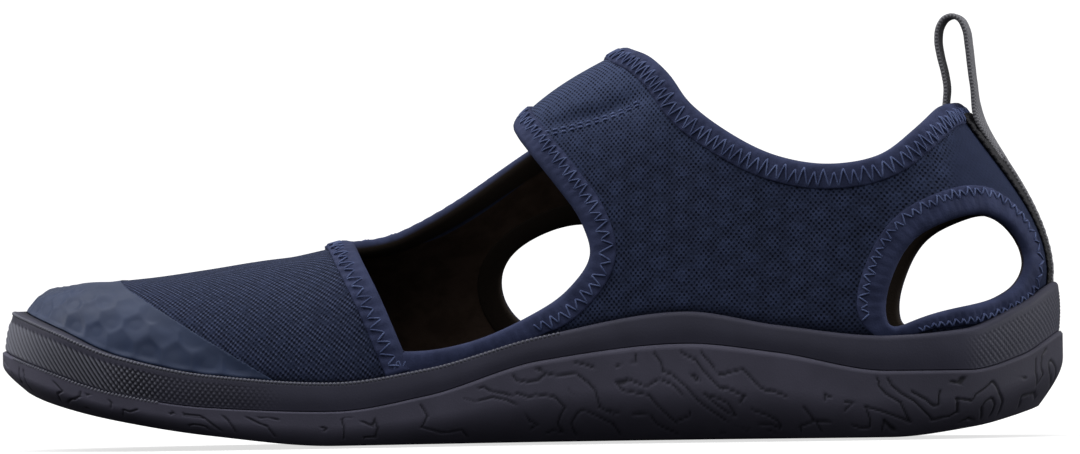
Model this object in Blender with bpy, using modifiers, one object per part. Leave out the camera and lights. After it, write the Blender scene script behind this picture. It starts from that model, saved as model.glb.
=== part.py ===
"""Closed-toe hiking sandal for a child's right foot, as separate solids.

The outsole is a rubber tray.  The midsole sits in it and its rim grips the upper, one hollow
shell on the shape of the last, open at the collar, at both sides of the foot and at the heel.
Toe at -X, heel at +X, arch (medial) side at -Y, outer (lateral) side at +Y, floor at Z = 0.
"""
from collections import namedtuple
import math

import bmesh
import bpy
import numpy as np

MM = 0.001

# Driving sizes, in millimetres
LENGTH = 210.0
BALL_WIDTH = 82.0
INSTEP_HEIGHT = 77.7
HEEL_TOP = 66.0
UPPER_WALL = 2.0
GAP = 0.3

# Sole thicknesses and steps, in millimetres
OUTSOLE_BASE = 3.0
TRAY_WALL = 1.8
TRAY_EDGE = 0.4
BAND_STEP = 0.7
RIM_ROUND = 1.0
INSOLE_THICKNESS = 3.0
INSOLE_ROUND = 0.8

# Overlays, in millimetres
CAP_THICKNESS = 0.8
CAP_SEAT = 0.45
TAPE_WIDTH = 12.0
TAPE_THICKNESS = 1.6
LOOP_WIDTH = 9.0
LOOP_THICKNESS = 1.2
LOOP_SAG = 1.8

# The strap's free end: thickness, how far it stands proud, and the y between which it lifts off
TAB_THICKNESS = 1.8
TAB_LIFT = 1.6
TAB_RAMP = (4.0, 13.0)
TAB_FOOT = 40.0
TAB_SPAN = (0.40, 0.75)
SKIN_LIFT = 0.05

# Facets
STEPS_PER_STATION = 3
CUP_LEVELS = 4
WALL_LEVELS = 10
CURVE_STEPS = 4
TAB_COLUMNS = 20
TAB_ROWS = 11
TAPE_COLUMNS = 7
TAPE_ROWS = 10
LOOP_STEPS = 34
MERGE = 0.002
CORNER_ROUND = 1.0 - math.sqrt(0.5)

Station = namedtuple(
    "Station",
    "medial_x medial_y lateral_x lateral_y spine_x spine_y ridge square lean foot_tuck inset")

# Sole edge and last ridge from toe to heel.  x is a share of LENGTH, y of BALL_WIDTH and ridge of
# INSTEP_HEIGHT.  square sets how full a section is (2 is an ellipse), lean draws its upper half
# in and foot_tuck its foot.  inset is how far inside the sole edge the upper stands, in mm.
STATIONS = [
    Station(-0.500, -0.098, -0.500, -0.098, -0.433, -0.073, 0.414, 2.9, 0.00, 0.00, 3.9),
    Station(-0.491, -0.226, -0.492, 0.037, -0.421, -0.070, 0.417, 2.9, 0.00, 0.00, 3.8),
    Station(-0.464, -0.348, -0.467, 0.171, -0.403, -0.063, 0.421, 2.8, 0.00, 0.00, 3.6),
    Station(-0.419, -0.437, -0.421, 0.293, -0.379, -0.055, 0.426, 2.7, 0.00, 0.00, 3.4),
    Station(-0.355, -0.487, -0.350, 0.402, -0.338, -0.037, 0.438, 2.5, 0.00, 0.00, 3.2),
    Station(-0.271, -0.500, -0.257, 0.478, -0.262, -0.018, 0.468, 2.35, 0.00, 0.00, 3.2),
    Station(-0.181, -0.473, -0.152, 0.500, -0.171, 0.000, 0.514, 2.25, 0.00, 0.00, 3.2),
    Station(-0.086, -0.415, -0.052, 0.485, -0.076, 0.012, 0.656, 2.15, 0.00, 0.00, 3.2),
    Station(0.000, -0.368, 0.038, 0.454, 0.010, 0.018, 0.864, 2.15, 0.00, 0.00, 3.2),
    Station(0.086, -0.346, 0.114, 0.427, 0.093, 0.018, 1.000, 2.2, 0.00, 0.00, 3.2),
    Station(0.171, -0.351, 0.190, 0.410, 0.171, 0.012, 1.120, 2.3, 0.00, 0.00, 3.2),
    Station(0.257, -0.365, 0.267, 0.400, 0.238, 0.006, 1.210, 2.4, 0.05, 0.01, 3.0),
    Station(0.333, -0.361, 0.338, 0.385, 0.276, 0.000, 1.261, 2.5, 0.12, 0.02, 2.8),
    Station(0.410, -0.311, 0.412, 0.329, 0.289, 0.000, 1.274, 2.6, 0.32, 0.05, 2.4),
    Station(0.469, -0.183, 0.470, 0.195, 0.295, 0.000, 1.278, 2.8, 0.57, 0.08, 1.9),
    Station(0.500, 0.006, 0.500, 0.006, 0.297, 0.000, 1.280, 3.0, 0.65, 0.09, 1.8),
]

Height = namedtuple(
    "Height",
    "x bottom floor part_medial part_lateral rim_medial rim_lateral tuck_medial tuck_lateral")

# Heights along the sole in millimetres: tread, footbed floor, parting line of outsole and midsole,
# and rim.  tuck is how far the tread's edge lies inside the parting line.
HEIGHTS = [
    Height(-105, 13.5, 19.0, 19.4, 19.4, 27.2, 27.2, 4.5, 4.5),
    Height(-93, 9.0, 15.2, 15.2, 15.0, 23.4, 23.4, 4.2, 4.2),
    Height(-80, 5.7, 12.0, 11.0, 10.8, 18.4, 18.2, 3.5, 3.5),
    Height(-60, 2.3, 8.9, 7.8, 7.6, 14.2, 14.0, 2.8, 2.8),
    Height(-36, 0.0, 7.5, 6.7, 6.6, 12.4, 12.4, 2.4, 2.4),
    Height(-18, 0.0, 7.6, 9.5, 7.2, 14.8, 12.9, 4.5, 2.6),
    Height(4, 0.0, 8.2, 16.0, 8.6, 20.8, 14.2, 7.5, 3.0),
    Height(32, 0.0, 9.2, 18.9, 10.8, 25.2, 16.4, 8.5, 3.4),
    Height(50, 0.0, 9.9, 16.9, 12.0, 22.3, 18.2, 7.0, 3.5),
    Height(72, 0.0, 10.6, 13.0, 12.9, 19.9, 19.6, 4.0, 3.6),
    Height(88, 1.8, 11.3, 12.9, 12.9, 21.0, 21.0, 3.8, 3.8),
    Height(98, 4.6, 11.8, 15.6, 15.6, 25.2, 25.2, 4.4, 4.4),
    Height(105, 8.0, 12.0, 20.2, 20.2, 30.0, 30.0, 5.0, 5.0),
]

# Rises of a last section between which it leans in at the top and tucks in at the foot
LEAN_RISES = (0.22, 0.95)
TUCK_RISES = (0.0, 0.24)

# Share of the outsole wall's height at which its tuck begins, and the rounding of the tuck
TUCK_START = 0.6
TUCK_POWER = 2.2
WALL_SHARES = (0.92, 0.6, 0.4, 0.22, 0.08, 0.0)
TRAY_SHARE = 0.56

# Side views of the openings, (x, z) in millimetres; a third value of True makes a sharp corner
COLLAR_LINE = [
    (19.6, 90.0, True), (19.8, 77.9, True), (25.0, 75.8), (28.8, 72.2), (32.5, 67.0), (40.3, 60.8),
    (50.0, 55.8), (61.0, 53.9), (71.0, 55.7), (77.5, 60.5), (82.4, 65.2), (86.0, HEEL_TOP),
    (98.0, HEEL_TOP + 1.0, True), (98.0, 120.0, True), (19.6, 120.0, True),
]
LATERAL_COLLAR = [
    (20.4, 77.0, True), (21.4, 75.0), (24.0, 71.4), (27.2, 66.8), (32.6, 62.4), (41.0, 57.6),
    (50.0, 54.6), (61.0, 53.0), (71.0, 54.9), (77.5, 60.0), (81.0, 66.0, True), (81.0, 90.0, True),
    (20.4, 90.0, True),
]
MEDIAL_OPENING = [
    (-37.5, 42.0, True), (-35.4, 39.4), (-31.4, 35.8), (-27.5, 29.0), (-23.4, 19.8), (-20.0, 18.4),
    (-11.2, 19.7), (0.5, 24.4), (9.0, 30.0), (13.4, 36.9), (11.7, 43.0), (6.0, 51.2), (1.0, 57.2),
    (-2.4, 61.0), (-3.2, 66.0, True), (-20.0, 66.0, True),
]
LATERAL_HOLE = [
    (-9.1, 31.0), (-7.2, 37.1), (-1.0, 41.4), (6.1, 43.3), (14.5, 41.8), (19.5, 36.0),
    (18.0, 28.5), (11.0, 23.6), (2.0, 21.2), (-5.5, 23.9),
]
HEEL_HOLE = [
    (71.6, 23.6), (72.8, 31.0), (77.1, 38.4), (84.2, 42.3), (90.0, 43.6), (96.3, 40.4),
    (99.0, 34.0), (97.4, 29.8), (90.2, 25.9), (76.0, 22.3), (72.2, 21.7),
]
STRAP_TAB = [
    (-3.2, 62.5), (0.5, 57.0), (6.5, 49.4), (12.0, 46.6), (20.0, 48.2), (24.6, 51.8), (27.4, 57.0),
    (32.0, 66.0, True), (34.0, 95.0, True), (2.0, 95.0, True),
]

# Plan view of the throat between the vamp, the lateral wall's top edge and the strap, (x, y)
THROAT = [
    (-35.4, -6.0, True), (-36.2, 0.0), (-34.0, 6.0), (-29.0, 11.6), (-21.7, 15.6), (-13.0, 16.8),
    (-5.0, 17.2), (0.2, 17.4, True), (-1.4, 12.0), (-2.7, 6.0), (-3.2, 0.0), (-3.2, -6.0, True),
]

# How far each opening is cut: right across the foot, or from the foot's middle to one side
FAR_SIDE = 60.0
MEDIAL_LIMIT = -4.0
LATERAL_LIMIT = 12.0
COLLAR_LIMIT = 1.0
TAB_LIMIT = 3.0
THROAT_LEVELS = (30.0, 100.0)

# Toe cap's rear edge in side view: its foot on the rim and its top on the ridge.  The cut runs on
# past both, and the film's skin starts ahead of CAP_REACH, a share of LENGTH.
CAP_EDGE_FOOT = (-50.3, 14.5)
CAP_EDGE_TOP = (-78.8, 31.8)
CAP_OVERRUN = 12.0
CAP_REACH = -0.19

# Pull loop in the plane of the heel, from inside the collar over the top to the heel tape
LOOP_ROUTE = [
    (81.7, 70.5), (81.3, 74.5), (81.2, 78.5), (82.2, 81.6), (84.5, 83.0), (86.5, 81.2),
    (87.5, 77.5), (87.9, 73.0), (88.2, 69.0),
]
LOOP_LEG = (57.0, 61.0, 65.5)
LOOP_CLEAR = 1.5
TAPE_TOP = 63.0


def closed_spline(knots, values, at):
    """Smooth closed curve through the values; the last knot closes the loop on the first value."""
    count = len(values)
    span = np.diff(knots)
    slope = (np.roll(values, -1, axis=0) - values) / span[:, None]
    system = np.zeros((count, count))
    for i in range(count):
        before = span[i - 1]
        system[i, i - 1] += before
        system[i, i] += 2.0 * (before + span[i])
        system[i, (i + 1) % count] += span[i]
    bend = np.linalg.solve(system, 6.0 * (slope - np.roll(slope, 1, axis=0)))
    left = np.clip(np.searchsorted(knots, at, side="right") - 1, 0, count - 1)
    right = (left + 1) % count
    width = span[left][:, None]
    b = (at - knots[left])[:, None] / width
    a = 1.0 - b
    curve = a * values[left] + b * values[right]
    curve += ((a ** 3 - a) * bend[left] + (b ** 3 - b) * bend[right]) * width ** 2 / 6.0
    return curve


def open_spline(knots, values, at):
    """Smooth open curve through the values, with tangents taken from the neighbours."""
    tangent = np.gradient(values, knots, axis=0)
    i = np.clip(np.searchsorted(knots, at, side="right") - 1, 0, len(knots) - 2)
    width = (knots[i + 1] - knots[i])[:, None]
    t = (at - knots[i])[:, None] / width
    curve = values[i] * (1 + 2 * t) * (1 - t) ** 2 + values[i + 1] * t * t * (3 - 2 * t)
    return curve + width * (tangent[i] * t * (1 - t) ** 2 - tangent[i + 1] * t * t * (1 - t))


def height(column, x):
    """A column of HEIGHTS at x, by cubics that never pass the table's own values."""
    table_x = np.array([row.x for row in HEIGHTS], dtype=float)
    table_y = np.array([getattr(row, column) for row in HEIGHTS], dtype=float)
    span = np.diff(table_x)
    slope = np.diff(table_y) / span
    tangent = np.zeros_like(table_y)
    same_way = slope[:-1] * slope[1:] > 0.0
    mean = 2.0 * slope[:-1] * slope[1:] / np.where(same_way, slope[:-1] + slope[1:], 1.0)
    tangent[1:-1] = np.where(same_way, mean, 0.0)
    tangent[0], tangent[-1] = slope[0], slope[-1]
    x = np.clip(x, table_x[0], table_x[-1])
    i = np.clip(np.searchsorted(table_x, x, side="right") - 1, 0, len(span) - 1)
    t = (x - table_x[i]) / span[i]
    rise = table_y[i] * (1 + 2 * t) * (1 - t) ** 2 + table_y[i + 1] * t * t * (3 - 2 * t)
    return rise + span[i] * (tangent[i] * t * (1 - t) ** 2 - tangent[i + 1] * t * t * (1 - t))


def smooth_step(low, high, value):
    t = np.clip((value - low) / (high - low), 0.0, 1.0)
    return t * t * (3.0 - 2.0 * t)


class Loop:
    """The stations as one closed loop: heel, medial side, toe, lateral side and back to the heel."""

    def __init__(self):
        def row(s, x, y):
            return (x * LENGTH, y * BALL_WIDTH, s.spine_x * LENGTH, s.spine_y * BALL_WIDTH,
                    s.ridge * INSTEP_HEIGHT, s.square, s.lean, s.foot_tuck, s.inset)

        medial = [row(s, s.medial_x, s.medial_y) for s in STATIONS]
        lateral = [row(s, s.lateral_x, s.lateral_y) for s in STATIONS]
        self.nodes = np.array(medial[::-1] + lateral[1:-1])
        stride = [
            np.linalg.norm(np.subtract(side[i + 1][:2], side[i][:2]))
            for side in (medial, lateral) for i in range(len(STATIONS) - 1)]
        stride = np.array(stride).reshape(2, -1).mean(axis=0)
        self.knots = np.concatenate([[0.0], np.cumsum(np.concatenate([stride[::-1], stride]))])
        self.toe = self.knots[len(STATIONS) - 1]
        self.length = self.knots[-1]

    def stations(self):
        """Places along the loop: every station and a few steps between."""
        share = np.arange(STEPS_PER_STATION) / STEPS_PER_STATION
        return np.concatenate([a + (b - a) * share for a, b in zip(self.knots, self.knots[1:])])

    def at(self, place):
        """The sections at the given places, as a named set of columns."""
        place = np.mod(place, self.length)
        columns = closed_spline(self.knots, self.nodes, place)
        step = 0.01
        ahead = closed_spline(self.knots, self.nodes, np.mod(place + step, self.length))[:, :2]
        behind = closed_spline(self.knots, self.nodes, np.mod(place - step, self.length))[:, :2]
        along = (ahead - behind) / np.linalg.norm(ahead - behind, axis=1)[:, None]
        outward = np.stack([-along[:, 1], along[:, 0]], axis=1)
        return Section(columns[:, 0:2], outward, columns[:, 2:4], columns[:, 4], columns[:, 5],
                       columns[:, 6], columns[:, 7], columns[:, 8], place < self.toe)


Section = namedtuple("Section", "edge outward spine ridge square lean foot_tuck inset medial")


def side_height(section, name):
    """A height that differs between the two sides of the sole, at each section's edge."""
    x = section.edge[:, 0]
    return np.where(section.medial, height(name + "_medial", x), height(name + "_lateral", x))


def inset_edge(section, distance):
    return section.edge - section.outward * np.reshape(distance, (-1, 1))


def lift(xy, z):
    """Plan points with their heights."""
    return np.concatenate([xy, np.broadcast_to(np.reshape(z, (-1, 1)), (len(xy), 1))], axis=1)


def last_point(section, rise, grow=0.0):
    """Points of the last's outer face, where rise runs from 0 at its foot to 1 on its ridge."""
    foot = inset_edge(section, section.inset - grow)
    foot_z = height("floor", foot[:, 0]) + GAP
    rise = np.broadcast_to(rise, (len(foot),))
    reach = (1.0 - rise ** section.square) ** (1.0 / section.square)
    reach = reach * (1.0 - section.lean * smooth_step(*LEAN_RISES, rise))
    reach = reach * (1.0 - section.foot_tuck * (1.0 - smooth_step(*TUCK_RISES, rise)))
    xy = section.spine + (foot - section.spine) * reach[:, None]
    return lift(xy, foot_z + (section.ridge - foot_z) * rise)


def rise_at(section, z):
    """The rise at which the last reaches a height."""
    foot_z = height("floor", inset_edge(section, section.inset)[:, 0]) + GAP
    return np.clip((z - foot_z) / (section.ridge - foot_z), 0.0, 1.0)


def even_rises(section, start, stop, levels):
    """Rises spaced evenly round each section, between a starting and a stopping rise."""
    power = section.square / 2.0
    first = np.arcsin(np.clip(start, 0.0, 1.0) ** power)
    last = np.arcsin(np.clip(stop, 0.0, 1.0) ** power)
    angles = [first + (last - first) * k / (levels - 1) for k in range(levels)]
    return [np.maximum(np.sin(angle), 0.0) ** (1.0 / power) for angle in angles]


def cup_rises(section):
    """Rises of the part of the last that stands inside the rim."""
    return even_rises(section, 0.0, rise_at(section, side_height(section, "rim")), CUP_LEVELS)


def open_rises(section):
    """Rises of the part of the last above the rim, up to its ridge."""
    return even_rises(section, rise_at(section, side_height(section, "rim")), 1.0, WALL_LEVELS)


def new_object(name, mesh, material, collection):
    obj = bpy.data.objects.new(name, mesh)
    if material:
        mesh.materials.append(material)
    collection.objects.link(obj)
    return obj


def grid_mesh(name, rows, ring):
    """Quads through rows of points.  A ring closes on its first row; shared points are merged."""
    rows = np.asarray(rows)
    count, levels = rows.shape[:2]
    faces = []
    for i in range(count if ring else count - 1):
        j = (i + 1) % count
        for k in range(levels - 1):
            faces.append((i * levels + k, j * levels + k, j * levels + k + 1, i * levels + k + 1))
    mesh = bpy.data.meshes.new(name)
    mesh.from_pydata(rows.reshape(-1, 3) * MM, [], faces)
    bm = bmesh.new()
    bm.from_mesh(mesh)
    bmesh.ops.remove_doubles(bm, verts=bm.verts, dist=MERGE * MM)
    bmesh.ops.recalc_face_normals(bm, faces=bm.faces)
    bm.to_mesh(mesh)
    bm.free()
    mesh.shade_smooth()
    return mesh


def grow_mesh(mesh, distance):
    """Move every point of a skin outwards along its normal."""
    for vertex in mesh.vertices:
        vertex.co += vertex.normal * distance * MM


def face_outwards(mesh):
    """Turn an open skin so that its faces look away from the middle of the foot."""
    middle = sum((v.co for v in mesh.vertices), start=mesh.vertices[0].co * 0.0) / len(mesh.vertices)
    votes = sum((p.center - middle).dot(p.normal) * p.area for p in mesh.polygons)
    if votes < 0.0:
        mesh.flip_normals()


def levels_to_rows(levels):
    return np.stack(levels, axis=1)


def solidify(obj, thickness, offset=-1.0):
    """Give an open skin its thickness, inwards unless the offset says otherwise."""
    wall = obj.modifiers.new("Wall", "SOLIDIFY")
    wall.thickness = thickness * MM
    wall.offset = offset
    wall.use_even_offset = False


def boolean(obj, other, operation):
    cut = obj.modifiers.new(other.name, "BOOLEAN")
    cut.operation = operation
    cut.solver = "EXACT"
    cut.object = other


def as_tool(obj):
    obj.hide_render = True
    obj.display_type = "WIRE"
    return obj


def outline_cutter(name, outline, low, high, collection, plan=False):
    """A smooth flat outline extruded across the foot, or upwards if it is drawn in plan."""
    curve = bpy.data.curves.new(name, "CURVE")
    curve.dimensions = "2D"
    curve.fill_mode = "BOTH"
    curve.resolution_u = CURVE_STEPS
    curve.extrude = (high - low) / 2 * MM
    spline = curve.splines.new("BEZIER")
    spline.use_cyclic_u = True
    spline.bezier_points.add(len(outline) - 1)
    for point, place in zip(spline.bezier_points, outline):
        point.co = (place[0] * MM, place[1] * MM, 0.0)
        kind = "VECTOR" if len(place) > 2 else "AUTO"
        point.handle_left_type = kind
        point.handle_right_type = kind
    drawn = bpy.data.objects.new(name + "_outline", curve)
    middle = (low + high) / 2 * MM
    drawn.location = (0.0, 0.0, middle) if plan else (0.0, middle, 0.0)
    drawn.rotation_euler = (0.0 if plan else math.pi / 2, 0.0, 0.0)
    collection.objects.link(drawn)
    bpy.context.view_layer.update()
    depsgraph = bpy.context.evaluated_depsgraph_get()
    mesh = bpy.data.meshes.new_from_object(drawn.evaluated_get(depsgraph))
    bm = bmesh.new()
    bm.from_mesh(mesh)
    bmesh.ops.remove_doubles(bm, verts=bm.verts, dist=MERGE * MM)
    bmesh.ops.recalc_face_normals(bm, faces=bm.faces)
    bm.to_mesh(mesh)
    bm.free()
    cutter = new_object(name, mesh, None, collection)
    cutter.matrix_world = drawn.matrix_world
    bpy.data.objects.remove(drawn)
    return as_tool(cutter)


def material(name, colour, roughness):
    made = bpy.data.materials.new(name)
    made.use_nodes = True
    shader = made.node_tree.nodes["Principled BSDF"]
    shader.inputs["Base Color"].default_value = (*colour, 1.0)
    shader.inputs["Roughness"].default_value = roughness
    return made


def tuck_depth(section, share):
    """How far the outsole wall lies inside its edge at a share of its height."""
    return side_height(section, "tuck") * np.maximum(0.0, 1.0 - share / TUCK_START) ** TUCK_POWER


def tray_levels(section, clear):
    """The tray's hollow: its floor from the spine, then up its wall to the parting line.

    clear draws the surface inwards for the piece that sits in the tray.
    """
    part = side_height(section, "part")
    edge_bottom = height("bottom", section.edge[:, 0])
    base_share = OUTSOLE_BASE / (part - edge_bottom)
    floor_edge = inset_edge(section, TRAY_WALL + GAP + clear + tuck_depth(section, base_share))
    wall = inset_edge(section, TRAY_WALL + clear + tuck_depth(section, TRAY_SHARE))
    base = OUTSOLE_BASE + clear
    return [
        lift(section.spine, height("bottom", section.spine[:, 0]) + base),
        lift(floor_edge, height("bottom", floor_edge[:, 0]) + base),
        lift(wall, edge_bottom + (part - edge_bottom) * TRAY_SHARE + clear),
        lift(inset_edge(section, TRAY_WALL + clear), part + clear),
    ]


def make_outsole(section, collection, finish):
    """A tray: base under the foot and a wall up to the parting line, with a tucked tread edge."""
    part = side_height(section, "part")
    levels = tray_levels(section, clear=0.0)
    levels.append(lift(inset_edge(section, TRAY_EDGE), part))
    for share in WALL_SHARES:
        edge = inset_edge(section, tuck_depth(section, share))
        tread = height("bottom", edge[:, 0])
        levels.append(lift(edge, tread + (part - tread) * share))
    levels.append(lift(section.spine, height("bottom", section.spine[:, 0])))
    mesh = grid_mesh("outsole", levels_to_rows(levels), ring=True)
    return new_object("outsole", mesh, finish, collection)


def make_midsole(section, collection, finish):
    """The footbed base in the tray, stepping out above it to the rim round the upper."""
    part = side_height(section, "part") + GAP
    rim = side_height(section, "rim")
    levels = tray_levels(section, clear=GAP)
    corner = RIM_ROUND * CORNER_ROUND
    levels += [
        lift(inset_edge(section, BAND_STEP), part),
        lift(inset_edge(section, BAND_STEP), rim - RIM_ROUND),
        lift(inset_edge(section, BAND_STEP + corner), rim - corner),
        lift(inset_edge(section, BAND_STEP + RIM_ROUND), rim),
    ]
    cup = [last_point(section, rise, grow=GAP) for rise in cup_rises(section)]
    cup[0][:, 2] -= GAP
    levels += cup[::-1]
    levels.append(lift(section.spine, height("floor", section.spine[:, 0])))
    mesh = grid_mesh("midsole", levels_to_rows(levels), ring=True)
    return new_object("midsole", mesh, finish, collection)


def make_insole(section, collection, finish):
    """A loose footbed lying in the cup, with a rounded upper edge."""
    inset = section.inset + UPPER_WALL + 2 * GAP
    reach = 1.0 - section.foot_tuck

    def ring(more_inset, up):
        foot = inset_edge(section, inset + more_inset)
        xy = section.spine + (foot - section.spine) * reach[:, None]
        return lift(xy, height("floor", xy[:, 0]) + GAP + up)

    floor = height("floor", section.spine[:, 0]) + GAP
    levels = [
        lift(section.spine, floor),
        ring(0.0, 0.0),
        ring(0.0, INSOLE_THICKNESS - INSOLE_ROUND),
        ring(INSOLE_ROUND, INSOLE_THICKNESS),
        lift(section.spine, floor + INSOLE_THICKNESS),
    ]
    mesh = grid_mesh("insole", levels_to_rows(levels), ring=True)
    return new_object("insole", mesh, finish, collection)


def last_skin(name, section, rises, ring):
    """The last's outer face as an open skin through the given rises."""
    rows = levels_to_rows([last_point(section, rise) for rise in rises])
    mesh = grid_mesh(name, rows, ring)
    face_outwards(mesh)
    return mesh


def make_strap_tab(loop, tools):
    """The strap's free end, standing proud of the lateral wall that it fastens on."""
    lateral_side = loop.length - loop.toe
    first, last = [loop.toe + share * lateral_side for share in TAB_SPAN]
    section = loop.at(np.linspace(first, last, TAB_COLUMNS))
    rises = even_rises(section, rise_at(section, TAB_FOOT), 1.0, TAB_ROWS)
    mesh = last_skin("strap_tab", section, rises, ring=False)
    for vertex in mesh.vertices:
        proud = smooth_step(*TAB_RAMP, vertex.co.y / MM)
        vertex.co += vertex.normal * (TAB_LIFT * proud + SKIN_LIFT) * MM
    tab = as_tool(new_object("strap_tab", mesh, None, tools))
    solidify(tab, TAB_THICKNESS)
    outline = outline_cutter("strap_tab_outline", STRAP_TAB, TAB_LIMIT, FAR_SIDE, tools)
    boolean(tab, outline, "INTERSECT")
    return tab


def make_upper(loop, collection, tools, finish):
    """The whole upper as one shell on the last, joined with the strap's end and cut open."""
    section = loop.at(loop.stations())
    rises = cup_rises(section) + open_rises(section)[1:]
    mesh = last_skin("upper", section, rises, ring=True)
    upper = new_object("upper", mesh, finish, collection)
    solidify(upper, UPPER_WALL)
    boolean(upper, make_strap_tab(loop, tools), "UNION")
    for name, outline, low, high, plan in (
            ("collar", COLLAR_LINE, -FAR_SIDE, FAR_SIDE, False),
            ("lateral_collar", LATERAL_COLLAR, COLLAR_LIMIT, FAR_SIDE, False),
            ("throat", THROAT, *THROAT_LEVELS, True),
            ("medial_opening", MEDIAL_OPENING, -FAR_SIDE, MEDIAL_LIMIT, False),
            ("lateral_hole", LATERAL_HOLE, LATERAL_LIMIT, FAR_SIDE, False),
            ("heel_holes", HEEL_HOLE, -FAR_SIDE, FAR_SIDE, False)):
        cutter = outline_cutter(name + "_cutter", outline, low, high, tools, plan)
        boolean(upper, cutter, "DIFFERENCE")
    return upper


def make_toe_cap(loop, collection, tools, finish):
    """A film over the toe, from the rim up to a slanting rear edge."""
    places = loop.stations()
    places = places[loop.at(places).edge[:, 0] < CAP_REACH * LENGTH]
    section = loop.at(places)
    rises = open_rises(section)
    rises[0] = rise_at(section, side_height(section, "rim") + GAP)
    mesh = last_skin("toe_cap", section, rises, ring=False)
    grow_mesh(mesh, CAP_SEAT + CAP_THICKNESS)
    cap = new_object("toe_cap", mesh, finish, collection)
    solidify(cap, CAP_THICKNESS)
    (foot_x, foot_z), (top_x, top_z) = CAP_EDGE_FOOT, CAP_EDGE_TOP
    overrun = CAP_OVERRUN * (top_x - foot_x) / (top_z - foot_z)
    low, high = foot_z - CAP_OVERRUN, top_z + CAP_OVERRUN
    behind = [
        (foot_x - overrun, low, True), (top_x + overrun, high, True),
        (0.0, high, True), (0.0, low, True)]
    cutter = outline_cutter("cap_edge_cutter", behind, -FAR_SIDE, FAR_SIDE, tools)
    boolean(cap, cutter, "DIFFERENCE")
    return cap


def heel_back(z, off):
    """The heel's middle line in X and Z at a height, moved off the last's face."""
    section = LOOP.at(np.array([0.0]))
    point, above = [last_point(section, rise_at(section, z + up))[0] for up in (0.0, 0.1)]
    along = (above - point) / np.linalg.norm(above - point)
    return point[0] + along[2] * off, point[2] - along[0] * off


def make_heel_tape(loop, collection, finish):
    """Webbing up the back seam, from the rim to just below the top of the heel."""
    rows = []
    back = loop.at(np.array([0.0]))
    bottom = side_height(back, "rim")[0] + GAP
    for z in np.linspace(bottom, TAPE_TOP, TAPE_ROWS):
        narrow = (heel_back(z, 0.0)[0] - back.spine[0, 0]) / (back.edge[0, 0] - back.spine[0, 0])
        places = np.linspace(-TAPE_WIDTH / 2, TAPE_WIDTH / 2, TAPE_COLUMNS) / narrow
        section = loop.at(places)
        rows.append(last_point(section, rise_at(section, z)))
    mesh = grid_mesh("heel_tape", rows, ring=False)
    face_outwards(mesh)
    grow_mesh(mesh, GAP + TAPE_THICKNESS)
    tape = new_object("heel_tape", mesh, finish, collection)
    solidify(tape, TAPE_THICKNESS)
    return tape


def make_pull_loop(collection, finish):
    """A flat ribbon from inside the collar, over the top and down to the heel tape."""
    half = LOOP_THICKNESS / 2
    inside = [heel_back(z, -UPPER_WALL - GAP - half - LOOP_SAG) for z in LOOP_LEG]
    outside = [heel_back(TAPE_TOP + LOOP_CLEAR, GAP + half)]
    route = np.array(inside + LOOP_ROUTE + outside)
    knots = np.concatenate([[0.0], np.cumsum(np.linalg.norm(np.diff(route, axis=0), axis=1))])
    smooth = open_spline(knots, route, np.linspace(0.0, knots[-1], LOOP_STEPS))
    rows = [[(x, -LOOP_WIDTH / 2, z), (x, LOOP_WIDTH / 2, z)] for x, z in smooth]
    mesh = grid_mesh("pull_loop", rows, ring=False)
    ribbon = new_object("pull_loop", mesh, finish, collection)
    solidify(ribbon, LOOP_THICKNESS, offset=0.0)
    return ribbon


for leftover in list(bpy.data.objects):
    bpy.data.objects.remove(leftover)

parts = bpy.data.collections.new("hiking_sandal")
cutters = bpy.data.collections.new("hiking_sandal_cutters")
bpy.context.scene.collection.children.link(parts)
bpy.context.scene.collection.children.link(cutters)

sole_rubber = material("sole_rubber", (0.022, 0.022, 0.032), 0.6)
rim_rubber = material("rim_rubber", (0.024, 0.024, 0.036), 0.55)
mesh_fabric = material("mesh_fabric", (0.020, 0.026, 0.055), 0.75)
footbed = material("footbed", (0.008, 0.008, 0.010), 0.9)
cap_film = material("cap_film", (0.060, 0.080, 0.130), 0.4)
webbing = material("webbing", (0.070, 0.070, 0.080), 0.7)

LOOP = Loop()
RING = LOOP.at(LOOP.stations())
make_outsole(RING, parts, sole_rubber)
make_midsole(RING, parts, rim_rubber)
make_insole(RING, parts, footbed)
make_upper(LOOP, parts, cutters, mesh_fabric)
make_toe_cap(LOOP, parts, cutters, cap_film)
make_heel_tape(LOOP, parts, webbing)
make_pull_loop(parts, webbing)
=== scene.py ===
# %% [markdown]
# # A closed-toe hiking sandal for a child's right foot
# The sandal is a mesh upper on a rubber sole, with a film cap over the toes, bound edges and a pull
# loop at the heel.  Its plain solids come from a packed model; this lesson makes the surfaces that
# the eye sees, each in the place where its solid stands.  First the model is loaded as a fixed frame.

# %% Load the frame
import math
from collections import namedtuple
from contextlib import contextmanager

import bpy
import numpy as np
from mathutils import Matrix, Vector
from mathutils.bvhtree import BVHTree
from mathutils.geometry import interpolate_bezier


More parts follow.
